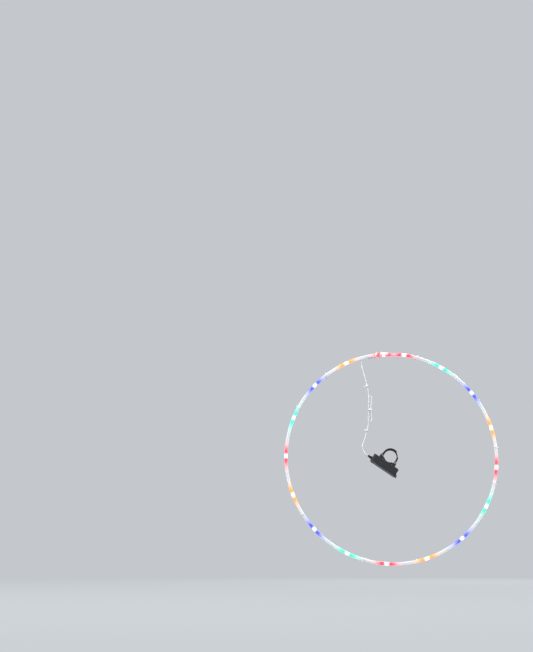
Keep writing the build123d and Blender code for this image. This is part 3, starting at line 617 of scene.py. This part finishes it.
def scatter_tree(shape: Shape) -> NodeTree:
    """The tree that sets one small piece on each point of a mesh, turned as the point's attribute says.

    Args:
        shape: What the small piece is.

    Returns:
        The tree, whose inputs are the piece's size along its own three axes, and its material.
    """
    tree, given = tree_with(f"one {shape.value} on each point", {"Size": "Vector"})
    if shape is Shape.BLOCK:
        piece = add_node(tree, "GeometryNodeMeshCube")
    else:
        ball = add_node(tree, "GeometryNodeMeshUVSphere", SMALL_BALL)
        piece = add_node(tree, "GeometryNodeSetShadeSmooth", {0: ball})
    sized = add_node(tree, "GeometryNodeTransform", {"Geometry": piece, "Scale": given["Size"]})
    turn = add_node(tree, "GeometryNodeInputNamedAttribute", {"Name": "turn"}, data_type="FLOAT_VECTOR")
    set_down = {"Points": given["Geometry"], "Instance": sized, "Rotation": turn}
    return ended(tree, given, add_node(tree, "GeometryNodeInstanceOnPoints", set_down))


def baked(name: str, mesh: bpy.types.Mesh, tree: NodeTree, values: dict) -> Object:
    """Runs a geometry tree on a mesh and keeps its result as a plain mesh.

    Args:
        name: The piece's name.
        mesh: The mesh that the tree starts from.
        tree: The geometry tree.
        values: The value of each named input.

    Returns:
        The piece, in the scene, with no modifier left.
    """
    piece = placed(name, mesh)
    modifier = piece.modifiers.new(name, "NODES")
    modifier.node_group = tree
    inputs = [item for item in tree.interface.items_tree if item.in_out == "INPUT"]
    identifiers = {item.name: item.identifier for item in inputs}
    for label, value in values.items():
        modifier[identifiers[label]] = value
    result = bpy.data.meshes.new_from_object(piece.evaluated_get(bpy.context.evaluated_depsgraph_get()))
    piece.modifiers.clear()
    piece.data = result
    result.name = name
    return piece


def scattered(
    name: str, places: list[Matrix], shape: Shape, size: Triple, finish: Material
) -> Object:
    """Sets one small piece at each place.

    Args:
        name: The whole row's name.
        places: Where each one goes, as a turn and a place.
        shape: What each one is.
        size: Its size along its own axes.
        finish: Its material.

    Returns:
        The row as one plain mesh.
    """
    mesh = bpy.data.meshes.new(name)
    mesh.from_pydata([tuple(place.to_translation()) for place in places], [], [])
    turns = mesh.attributes.new("turn", "FLOAT_VECTOR", "POINT")
    for index, place in enumerate(places):
        turns.data[index].vector = tuple(place.to_euler())
    return baked(name, mesh, scatter_tree(shape), {"Size": size, "Material": finish})


def shown(piece: Object, slot: str, *replaced: str) -> None:
    """Hands a finished piece to the frame, on the root body, because none of these pieces moves.

    Args:
        piece: The piece, in place.
        slot: The name of a material slot; it is not used.
        *replaced: The nodes that it stands for.
    """
    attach(piece, "root")
    if replaced:
        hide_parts(*replaced)
    log.info("%s has %d faces", piece.name, len(piece.data.polygons))


def dress(finish: Moulded | Metal | LitResin | CellWrap, *nodes: str) -> Material:
    """Gives CAD nodes their finish.

    Args:
        finish: The finish.
        *nodes: The nodes' names.

    Returns:
        Its material.
    """
    material = finish.material()
    for node in nodes:
        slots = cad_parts[node].data.materials
        slots.clear()
        slots.append(material)
        log.info("%s is %s", node, material.name)
    return material


# Sub-assemblies


@dataclass
class LampRing:
    """The clear tube with its wires and lamps, and the sleeves that close its two ends."""

    radius: float = 267 * MM
    tube_outer: float = 4.0 * MM
    tube_wall: float = 1.0 * MM
    wire_radius: float = 0.45 * MM
    wire_aside: float = 1.2 * MM
    lamps: int = 17
    seam_gap: float = 52 * MM
    seam_clock: float = math.radians(3.6)
    tail: float = 8 * MM
    lamp_length: float = 7 * MM
    swerve_run: float = 37 * MM
    lead_in: float = 50 * MM
    set_back: float = 9.3 * MM
    cap_grip: float = 9.0 * MM
    steps: int = 720
    tube_sides: int = 32
    wire_sides: int = 10
    chip: Triple = (2.6 * MM, 1.1 * MM, 2.2 * MM)
    chip_strength: float = 2.4
    bead_strength: float = 1.3
    bead_alpha: float = 0.7

    @property
    def half_gap(self) -> float:
        """Half the angle between the last lamp and the first."""
        return self.seam_gap / self.radius / 2

    @property
    def first_lamp(self) -> float:
        """The first lamp's clock angle."""
        return self.seam_clock + self.half_gap

    @property
    def step(self) -> float:
        """The angle from one lamp to the next."""
        return (2 * math.pi - 2 * self.half_gap) / (self.lamps - 1)

    @property
    def last_lamp(self) -> float:
        """The last lamp's clock angle."""
        return self.first_lamp + self.step * (self.lamps - 1)

    @property
    def swerve_last(self) -> float:
        """The clock angle where the tube has come in line."""
        return self.first_lamp - self.lamp_length / 2 / self.radius

    @property
    def swerve_first(self) -> float:
        """The clock angle where the tube starts to come in line."""
        return self.swerve_last - self.swerve_run / self.radius

    def inlet_point(self, out: float) -> Vector:
        """A point on the axis of the sleeve that the lead comes through.

        Args:
            out: How far the point lies outside the tube's end.

        Returns:
            The point.
        """
        half = self.cap_grip / 2
        clock = self.swerve_first - (self.lead_in - half) / self.radius
        return Matrix.Rotation(clock, 4, "Y") @ Vector((-out - half, self.set_back, self.radius))

    def glow(self) -> LampGlow:
        """The light that the lamps throw along the tube."""
        return LampGlow(self.first_lamp, self.step, self.half_gap, self.step * self.radius)

    def along(self, name: str, own: dict) -> Object:
        """Sweeps one round section along the ring.

        Args:
            name: The piece's name.
            own: The inputs of the ring's tree that are this piece's own.

        Returns:
            The swept piece.
        """
        values = {
            "Ring Radius": self.radius,
            "First Clock": self.swerve_first - self.lead_in / self.radius,
            "Swerve First": self.swerve_first,
            "Swerve Last": self.swerve_last,
            "Set Back": self.set_back,
            "Steps": self.steps,
        }
        return baked(name, bpy.data.meshes.new(name), ring_tree(), values | own)

    def tube(self) -> None:
        """Makes the clear tube, with a real wall."""
        own = {
            "Last Clock": self.last_lamp + self.tail / self.radius,
            "Aside": 0.0,
            "Section": self.tube_outer,
            "Sides": self.tube_sides,
            "Ends Closed": False,
            "Material": ClearTube("clear flexible PVC tube", "#EEF4F8", self.glow()).material(),
        }
        tube = self.along("clear_tube", own)
        wall = tube.modifiers.new("wall", "SOLIDIFY")
        wall.thickness = self.tube_wall
        wall.offset = -1.0
        shown(tube, "clear_pvc", "light_tube")

    def wires(self) -> None:
        """Makes the two wires that carry the lamps."""
        # Extruded PVC on a wire too thin to show more than a satin line.
        insulation = Moulded("thin PVC wire insulation", "#A9ADB2", roughness=0.4).material()
        for label, side in (("near", -1), ("far", 1)):
            own = {
                "Last Clock": self.last_lamp + self.lamp_length / 2 / self.radius,
                "Aside": side * self.wire_aside,
                "Section": self.wire_radius,
                "Sides": self.wire_sides,
                "Ends Closed": True,
                "Material": insulation,
            }
            wire = self.along(f"lamp_wire_{label}", own)
            shown(wire, "wire_grey", *(["lamp_wires"] if side < 0 else []))

    def light_up(self) -> None:
        """Sets a lit chip in the middle of every lamp, one row for each colour, and lights the beads."""
        colours = list(LampColour)
        for index, colour in enumerate(colours):
            label, hue = colour.value
            clocks = [self.first_lamp + self.step * n for n in range(index, self.lamps, len(colours))]
            up = Matrix.Translation((0, 0, self.radius))
            places = [Matrix.Rotation(clock, 4, "Y") @ up for clock in clocks]
            lit = LitResin(f"lit {label} chip", hue, self.glow(), self.chip_strength).material()
            chips = scattered(f"lamp_chips_{label}", places, Shape.GRAIN, self.chip, lit)
            shown(chips, f"lamp_{label}")
            name = f"epoxy bead lit {label}"
            bead = LitResin(name, hue, self.glow(), self.bead_strength, self.bead_alpha)
            dress(bead, f"lamps_{label}")

    def build(self) -> None:
        """Builds and dresses the whole ring."""
        self.tube()
        self.wires()
        self.light_up()
        # Translucent PVC, thicker than the tube, so milky rather than clear.
        milky = Moulded("milky PVC sleeve", "#F1F4F6", roughness=0.25, alpha=0.75, mottle=0.06)
        dress(milky, "end_plug", "inlet_cap")


@dataclass
class Ties:
    """The cable ties on the ring and the lead, with the ratchet teeth of their straps."""

    ring: LampRing
    clocks: tuple[float, ...] = (16.5, 85.4, 105.0, 124.4, 168.0, 196.0, 237.4, 298.7, 322.8)
    lean: float = math.radians(30)
    slack: float = 0.25 * MM
    thickness: float = 1.0 * MM
    room_behind: float = 2.0 * MM
    head_length: float = 3.2 * MM
    tooth: Triple = (0.35 * MM, 0.16 * MM, 1.7 * MM)
    tooth_pitch: float = 0.9 * MM
    teeth: int = 4

    def tie_place(self, clock: float) -> Matrix:
        """The frame of one tie: its own X along the tail, Y towards the back of the ring.

        Args:
            clock: The tie's clock angle, in degrees.

        Returns:
            The frame, with its origin at the middle of the tie's opening.
        """
        front = self.ring.tube_outer + self.slack
        back = self.ring.tube_outer + self.room_behind + self.slack
        middle = Matrix.Translation((0, (back - front) / 2, self.ring.radius))
        across = Matrix.Rotation(self.lean - math.pi / 2, 4, "Y")
        return Matrix.Rotation(math.radians(clock), 4, "Y") @ middle @ across

    def ratchet(self, finish: Material) -> None:
        """Gives the free tails their ratchet: a row of small teeth on each one's inner face.

        Args:
            finish: The ties' nylon.
        """
        half = self.ring.tube_outer + self.room_behind / 2 + self.slack
        inner = -(half + self.thickness + self.slack)
        start = self.head_length / 2
        outs = [start + self.tooth_pitch * (number + 0.5) for number in range(self.teeth)]
        ties = [self.tie_place(clock) for clock in self.clocks]
        places = [tie @ Matrix.Translation((out, inner, 0)) for tie in ties for out in outs]
        teeth = scattered("tie_ratchet_teeth", places, Shape.BLOCK, self.tooth, finish)
        shown(teeth, "tie_nylon")

    def build(self) -> None:
        """Dresses the ties and adds their teeth."""
        # Natural nylon 66, moulded: a warm, slightly waxy white.
        nylon = Moulded("natural nylon cable tie", "#F7F7F2", roughness=0.38, mottle=0.06)
        self.ratchet(dress(nylon, "spoke_ties", "lead_ties"))


@dataclass
class Lead:
    """The thin cable that runs from the ring down to the pack, its slack folded into a hank."""

    ring: LampRing
    pack: "Pack"
    radius: float = 1.3 * MM
    sides: int = 6
    steps: int = 16
    weld: float = 0.001 * MM
    out_of_sleeve: tuple[float, ...] = (0.3 * MM, 12.0 * MM, 16.0 * MM)
    into_gland: tuple[float, ...] = (59.2 * MM, 50.5 * MM, 30.8 * MM)
    free_mm: tuple[Triple, ...] = (
        (-67.4, 9.1, 254.6), (-68.6, 8.8, 243.6), (-64.4, 7.8, 224.5), (-57.6, 6.4, 197.0),
        (-51.6, 5.3, 172.0), (-51.9, 5.0, 146.0), (-51.6, 5.0, 122.0), (-53.9, 5.0, 104.0),
        (-53.7, 5.0, 89.5), (-45.5, 5.0, 89.5), (-45.1, 5.0, 103.0), (-47.0, 5.0, 122.4),
        (-44.5, 5.0, 143.0), (-43.5, 5.2, 157.0), (-51.3, 8.9, 157.4), (-51.9, 8.7, 142.0),
        (-49.3, 8.3, 122.0), (-52.0, 8.4, 103.0), (-54.6, 8.6, 79.0), (-61.0, 6.0, 56.0),
        (-68.2, 3.0, 36.0), (-71.8, 1.0, 24.0),
    )

    def route(self) -> list[Vector]:
        """The lead's points, from inside the ring's sleeve to inside the pack.

        Returns:
            The points, which are the spline's control points.
        """
        start = [self.ring.inlet_point(out) for out in self.out_of_sleeve]
        free = [Vector(point) * MM for point in self.free_mm]
        end = [self.pack.point(along, self.pack.gland_level) for along in self.into_gland]
        return start + free + end

    def build(self) -> None:
        """Makes the lead as one smooth round cable."""
        curve = bpy.data.curves.new("lead", "CURVE")
        curve.dimensions = "3D"
        curve.bevel_depth = self.radius
        curve.bevel_resolution = self.sides
        curve.resolution_u = self.steps
        curve.use_fill_caps = True
        route = self.route()
        spline = curve.splines.new("NURBS")
        spline.points.add(len(route) - 1)
        for point, place in zip(spline.points, route):
            point.co = (*place, 1.0)
        spline.order_u = 3
        spline.use_endpoint_u = True
        line = bpy.data.objects.new("lead line", curve)
        mesh = bpy.data.meshes.new_from_object(line)
        bpy.data.objects.remove(line)
        # The curve's end faces come apart from its side, so they are welded to it.
        shell = bmesh.new()
        shell.from_mesh(mesh)
        bmesh.ops.remove_doubles(shell, verts=shell.verts, dist=self.weld)
        shell.to_mesh(mesh)
        shell.free()
        # Soft PVC over two fine cores: milky and glossy, nearly white.
        jacket = Moulded("milky PVC cable jacket", "#E9ECEF", roughness=0.28, mottle=0.08)
        mesh.materials.append(jacket.material())
        mesh.shade_smooth()
        shown(placed("lead", mesh), "lead_jacket", "lead_cable")


@dataclass
class Strap:
    """The hook and loop strap: sewn round one bar, once round to the other, through it and back."""

    pack: "Pack"
    bore: float = 16 * MM
    thickness: float = 2.0 * MM
    half_width: float = 10 * MM
    layer_gap: float = 0.2 * MM
    bar: Pair = (19.8 * MM, 13.25 * MM)
    wrap: float = 2.8 * MM
    sewn_arc: float = math.radians(24)
    tail_arc: float = math.radians(115)
    round_edge: float = 0.8 * MM
    edge_steps: int = 4
    step: float = 1.0 * MM
    turn: float = math.radians(10)
    up_steps: int = 8
    sewn_rows: tuple[float, ...] = (math.radians(4), math.radians(19))
    stitch: Triple = (0.5 * MM, 1.7 * MM, 0.5 * MM)
    stitch_pitch: float = 2.3 * MM
    stitch_margin: float = 1.7 * MM

    @property
    def inner(self) -> float:
        """The radius of the inner layer, at the middle of its thickness."""
        return self.bore + self.thickness / 2

    @property
    def outer(self) -> float:
        """The radius of the layer over it."""
        return self.inner + self.thickness + self.layer_gap

    def arc(self, centre: Pair, radius: float, first: float, last: float) -> list[Vector]:
        """Points along an arc of the strap's line.

        Args:
            centre: The arc's centre, across the pack and out from the ring's axis.
            radius: Its radius.
            first: The angle where it starts, counted from the pack's +X towards its +Z.
            last: The angle where it ends.

        Returns:
            The points, without the last one.
        """
        count = math.ceil(abs(last - first) / min(self.turn, self.step / radius))
        angles = [first + (last - first) * number / count for number in range(count)]
        x, z = centre
        return [Vector((x + radius * math.cos(a), 0, z + radius * math.sin(a))) for a in angles]

    def rise(self, side: int) -> list[Vector]:
        """Points where the outer layer eases out from its round to its bar.

        Args:
            side: Which bar: 1 or -1.

        Returns:
            The points, without the last one.
        """
        bar_x, bar_z = self.bar
        out = bar_x + self.wrap - self.outer
        count = int(bar_z / self.step)
        shares = [number / count for number in range(count)]
        eased = [share * share * (3 - 2 * share) for share in shares]
        return [Vector((side * (self.outer + out * e), 0, bar_z * s)) for s, e in zip(shares, eased)]

    def line(self) -> list[Vector]:
        """The middle line of the strap's thickness.

        Returns:
            Its points in the pack's own frame, from the sewn end to the free end.
        """
        half, bar_x, bar_z = math.pi, *self.bar
        levels = [bar_z * step / self.up_steps for step in range(self.up_steps + 1)]
        up = [Vector((self.inner, 0, level)) for level in levels]
        down = [Vector((-self.inner, 0, point.z)) for point in reversed(up)]
        return [
            *self.arc((0, 0), self.outer, half + self.sewn_arc, half),
            *self.rise(-1),
            *self.arc((-bar_x, bar_z), self.wrap, half, 0),
            *down,
            *self.arc((0, 0), self.inner, half, 2 * half)[1:],
            *up[:-1],
            *self.arc((bar_x, bar_z), self.wrap, half, 0),
            Vector((bar_x + self.wrap, 0, bar_z)),
            *reversed(self.rise(1)),
            *self.arc((0, 0), self.outer, 0, -self.tail_arc)[1:],
        ]

    def section(self) -> list[Pair]:
        """The strap's section, with its four edges rounded.

        Returns:
            How far across and how far through each of its points lies.
        """
        across, through = self.half_width - self.round_edge, self.thickness / 2 - self.round_edge
        corners = ((across, through), (-across, through), (-across, -through), (across, -through))
        points = []
        for corner, (x, z) in enumerate(corners):
            for number in range(self.edge_steps + 1):
                angle = math.pi / 2 * (corner + number / self.edge_steps)
                aside, out = self.round_edge * math.cos(angle), self.round_edge * math.sin(angle)
                points.append((x + aside, z + out))
        return points

    def band(self) -> None:
        """Makes the strap, with its own length and width kept on it for the weave to follow."""
        line, section = self.line(), self.section()
        vertices, weave, along = [], [], 0.0
        for index, point in enumerate(line):
            before, after = line[max(index - 1, 0)], line[min(index + 1, len(line) - 1)]
            through = (after - before).normalized().cross(Vector((0, 1, 0)))
            along += (point - before).length
            for across, depth in section:
                vertices.append(self.pack.place() @ (point + Vector((0, across, 0)) + through * depth))
                weave.append((along, across, depth))
        size = len(section)
        faces = [
            (ring + side, ring + (side + 1) % size, ring + size + (side + 1) % size, ring + size + side)
            for ring in range(0, len(vertices) - size, size)
            for side in range(size)
        ]
        ends = [tuple(reversed(range(size))), tuple(range(len(vertices) - size, len(vertices)))]
        mesh = bpy.data.meshes.new("hook_and_loop_strap")
        mesh.from_pydata(vertices, [], faces + ends)
        places = mesh.attributes.new("weave", "FLOAT_VECTOR", "POINT")
        for index, place in enumerate(weave):
            places.data[index].vector = place
        # Nylon tape, hooks on one face and loops on the other: dull, woven, with a flat edge.
        webbing = Webbing("woven hook and loop webbing", "#2A2B2F", "#17181A", self.half_width)
        mesh.materials.append(webbing.material())
        mesh.shade_smooth()
        shown(placed("hook_and_loop_strap", mesh), "strap_fabric", "hub_strap")

    def stitches(self) -> None:
        """Sews the strap's end down with two rows of stitches."""
        # Twisted polyester: a shade lighter than the tape, so that its rows can be told from it.
        thread = Moulded("polyester sewing thread", "#3A3C40", roughness=0.6).material()
        reach = self.half_width - self.stitch_margin
        count = int(2 * reach / self.stitch_pitch) + 1
        face = -(self.outer + self.thickness / 2)
        across = [(number - (count - 1) / 2) * self.stitch_pitch for number in range(count)]
        turns = [self.pack.place() @ Matrix.Rotation(-row, 4, "Y") for row in self.sewn_rows]
        places = [turn @ Matrix.Translation((face, y, 0)) for turn in turns for y in across]
        stitches = scattered("strap_stitches", places, Shape.GRAIN, self.stitch, thread)
        shown(stitches, "strap_fabric")

    def build(self) -> None:
        """Makes the strap and its stitches."""
        self.band()
        self.stitches()


@dataclass
class Pack:
    """The battery pack with its cover, latch, button, cells and contacts, and the lead's gland."""

    clock: float = math.radians(215)
    cell_half: float = 24.9 * MM
    nubs_first: tuple[bool, ...] = (False, True, False)
    gland_start: float = 36.2 * MM
    gland_level: float = 30.05 * MM
    gland_length: float = 12.0 * MM
    gland_radii: Pair = (4.0 * MM, 2.2 * MM)
    ribs: int = 6
    rib_margin: float = 1.5 * MM
    rib_section: float = 0.35 * MM
    rib_steps: int = 32
    rib_sides: int = 8

    def place(self) -> Matrix:
        """The turn from the pack's own frame, +Z away from the ring's axis, to the ring's frame."""
        return Matrix.Rotation(self.clock, 4, "Y")

    def point(self, along: float, out: float) -> Vector:
        """A point of the pack's middle plane, in the ring's frame, from its own place in the pack."""
        return self.place() @ Vector((along, 0, out))

    def gland_ribs(self, rubber: Material) -> None:
        """Rings the lead's strain relief, so that it bends evenly and doesn't kink.

        Args:
            rubber: The gland's silicone.
        """
        root, tip = self.gland_radii
        margin = self.rib_margin
        slope = (tip - root) / self.gland_length
        values = {
            "First Radius": root + slope * margin,
            "Last Radius": tip - slope * margin,
            "Length": self.gland_length - 2 * margin,
            "Section": self.rib_section,
            "Count": self.ribs,
            "Steps": self.rib_steps,
            "Sides": self.rib_sides,
            "Material": rubber,
        }
        ribs = baked("gland_ribs", bpy.data.meshes.new("gland_ribs"), rib_tree(), values)
        start = Matrix.Translation((self.gland_start + margin, 0, self.gland_level))
        ribs.data.transform(self.place() @ start @ Matrix.Rotation(math.pi / 2, 4, "Y"))
        shown(ribs, "button_rubber")

    def cells(self) -> None:
        """Dresses each cell for the way that it lies."""
        along = self.place() @ Vector((1, 0, 0))
        for number, nub_first in enumerate(self.nubs_first, start=1):
            low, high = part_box(f"battery_{number}")
            middle = ((low + high) / 2).dot(along)
            wrap = CellWrap(f"shrink wrapped cell {number}", along, middle, self.cell_half, nub_first)
            dress(wrap, f"battery_{number}")

    def build(self) -> None:
        """Dresses the pack and everything in and on it."""
        # ABS from a spark-eroded mould: dry black faces with a fine even grain. The latch is satin.
        dry_abs = Moulded("black ABS, spark grain", "#17181A", relief=0.03 * MM, edge=0.35 * MM)
        dress(dry_abs, "pack_base", "pack_lid", "battery_cover")
        fine = {"grain": 0.2 * MM, "relief": 0.02 * MM, "edge": 0.2 * MM}
        dress(Moulded("black ABS, satin", "#232529", roughness=0.34, **fine), "cover_latch")
        # Silicone rubber: a softer, duller black than the housing. EPDM has almost no shine.
        silicone = Moulded("black silicone rubber", "#1E1F21", roughness=0.7, relief=0.01 * MM)
        rubber = dress(silicone, "power_button", "lead_gland")
        coarse = {"grain": 0.6 * MM, "relief": 0.02 * MM}
        epdm = Moulded("moulded EPDM rubber", "#1A1A1B", roughness=0.85, **coarse)
        dress(epdm, "hub_pad", "cover_gasket")
        # Zinc plated steel is a bluish grey, and nickel plated spring wire warmer and brighter.
        dress(Metal("zinc plated steel", "#B9BCC0", 0.3), "hinge_pin", "lid_screws")
        dress(Metal("nickel plated spring steel", "#D3CFC4", 0.22), "contact_springs", "contact_plates")
        # Solder mask on glass epoxy: dark green under a clear gloss. The parts on it are flat black.
        board = Moulded("glass epoxy board, green mask", "#14532C", roughness=0.3, coat=0.5)
        dress(board, "circuit_board")
        dress(Moulded("black moulded epoxy", "#1B1B1D", roughness=0.5), "board_parts", "switch_body")
        # Moulded acetal: a smooth grey with a low shine.
        dress(Moulded("grey acetal", "#8A8C8F", roughness=0.4), "switch_plunger")
        self.cells()
        self.gland_ribs(rubber)


# Stage, lights and camera


@dataclass
class Studio:
    """The pale floor and world, four soft lights, and the camera where the photograph was taken."""

    focal_px: float = 993.0
    sensor: float = 36.0
    azimuth: float = math.radians(4.78)
    elevation: float = math.radians(-13.46)
    aim: Triple = (-0.3174, 0.0, 0.3491)
    distance: float = 2.643
    floor_level: float = -0.330
    floor_half: float = 9.0
    floor_shade: str = "#5E6164"
    floor_share: float = 0.84
    fade: Pair = (1.2, 4.0)
    pale: str = "#C4C8CD"
    world_strength: float = 0.55

    def camera(self) -> None:
        """Sets the camera, solved from the places of the lamps in the photograph."""
        a, e = self.azimuth, self.elevation
        back = Vector((math.sin(a) * math.cos(e), -math.cos(a) * math.cos(e), math.sin(e)))
        data = bpy.data.cameras.new("camera")
        data.sensor_width = self.sensor
        data.lens = self.sensor * self.focal_px / PHOTO_HEIGHT_PX
        camera = placed("camera", data)
        camera.location = Vector(self.aim) + back * self.distance
        camera.rotation_mode = "QUATERNION"
        camera.rotation_quaternion = (-back).to_track_quat("-Z", "Y")
        bpy.context.scene.camera = camera

    def lights(self) -> None:
        """Hangs four soft square lights that face the part, each with its place, side and watts."""
        lights = {
            "key": ((-1.1, -1.7, 1.5), 1.0, 38.0),
            "fill": ((1.6, -1.4, 0.5), 1.2, 16.0),
            "rim": ((0.6, 1.6, 1.2), 0.9, 22.0),
            "low": ((2.0, -3.2, -0.1), 1.2, 20.0),
        }
        for name, (place, side, watts) in lights.items():
            data = bpy.data.lights.new(name, "AREA")
            data.size = side
            data.energy = watts
            light = placed(name, data)
            light.location = place
            light.rotation_mode = "QUATERNION"
            light.rotation_quaternion = (-Vector(place)).to_track_quat("-Z", "Y")
            light.visible_camera = False

    def seen_directly(self, tree: NodeTree) -> Node:
        """Tells the rays that see the stage from those that only carry its light.

        Args:
            tree: The tree of the world or of a stage material.

        Returns:
            1 for a ray from the camera, a mirror or clear plastic, and 0 for any other.
        """
        rays = add_node(tree, "ShaderNodeLightPath").outputs
        others = (("MAXIMUM", rays[f"Is {kind} Ray"]) for kind in ("Transmission", "Camera"))
        return formula(tree, rays["Is Glossy Ray"], *others)

    def world(self) -> None:
        """Makes the world pale where it is seen, and a plain soft light elsewhere."""
        world = bpy.data.worlds.new("pale studio")
        world.use_nodes = True
        tree = world.node_tree
        tree.nodes.clear()
        plain = {"Color": WHITE, "Strength": self.world_strength}
        seen = {"Color": linear(self.pale), "Strength": 1.0}
        both = {
            0: self.seen_directly(tree),
            1: add_node(tree, "ShaderNodeBackground", plain),
            2: add_node(tree, "ShaderNodeBackground", seen),
        }
        add_node(tree, "ShaderNodeOutputWorld", {"Surface": add_node(tree, "ShaderNodeMixShader", both)})
        bpy.context.scene.world = world

    def floor_finish(self) -> Material:
        """The pale floor: it runs on into the pale world where it is seen, and keeps the part's shadow.

        Returns:
            The material.
        """
        material, tree = new_material("pale studio floor")
        matt = add_node(tree, "ShaderNodeBsdfDiffuse", {"Color": linear(self.floor_shade)})
        shine = formula(tree, self.seen_directly(tree), ("MULTIPLY", self.floor_share))
        seen = add_node(tree, "ShaderNodeEmission", {"Color": linear(self.pale), "Strength": shine})
        distance = add_node(tree, "ShaderNodeVectorMath", {0: object_place(tree)}, operation="LENGTH")
        near, far = self.fade
        run = {"Value": distance, "From Min": near, "From Max": far}
        faded = {
            0: add_node(tree, "ShaderNodeMapRange", run, interpolation_type="SMOOTHSTEP"),
            1: add_node(tree, "ShaderNodeAddShader", {0: matt, 1: seen}),
            2: add_node(tree, "ShaderNodeEmission", {"Color": linear(self.pale), "Strength": 1.0}),
        }
        return finished(material, add_node(tree, "ShaderNodeMixShader", faded))

    def floor(self) -> None:
        """Lays the pale floor, a little below the ring."""
        half, level = self.floor_half, self.floor_level
        mesh = bpy.data.meshes.new("floor")
        corners = ((-half, -half), (half, -half), (half, half), (-half, half))
        mesh.from_pydata([(*corner, level) for corner in corners], [], [(0, 1, 2, 3)])
        mesh.materials.append(self.floor_finish())
        placed("floor", mesh)

    def build(self) -> None:
        """Sets up everything round the part."""
        self.camera()
        self.world()
        self.floor()
        self.lights()
        bpy.context.scene.view_settings.view_transform = "Standard"


def main() -> None:
    """Builds the scene in order: the stage, the ring, the ties, the pack, its strap and the lead."""
    logging.basicConfig(level=logging.INFO, format="%(name)s: %(message)s")
    Studio().build()
    ring = LampRing()
    ring.build()
    Ties(ring).build()
    pack = Pack()
    pack.build()
    Strap(pack).build()
    Lead(ring, pack).build()


if __name__ == "__main__":
    main()
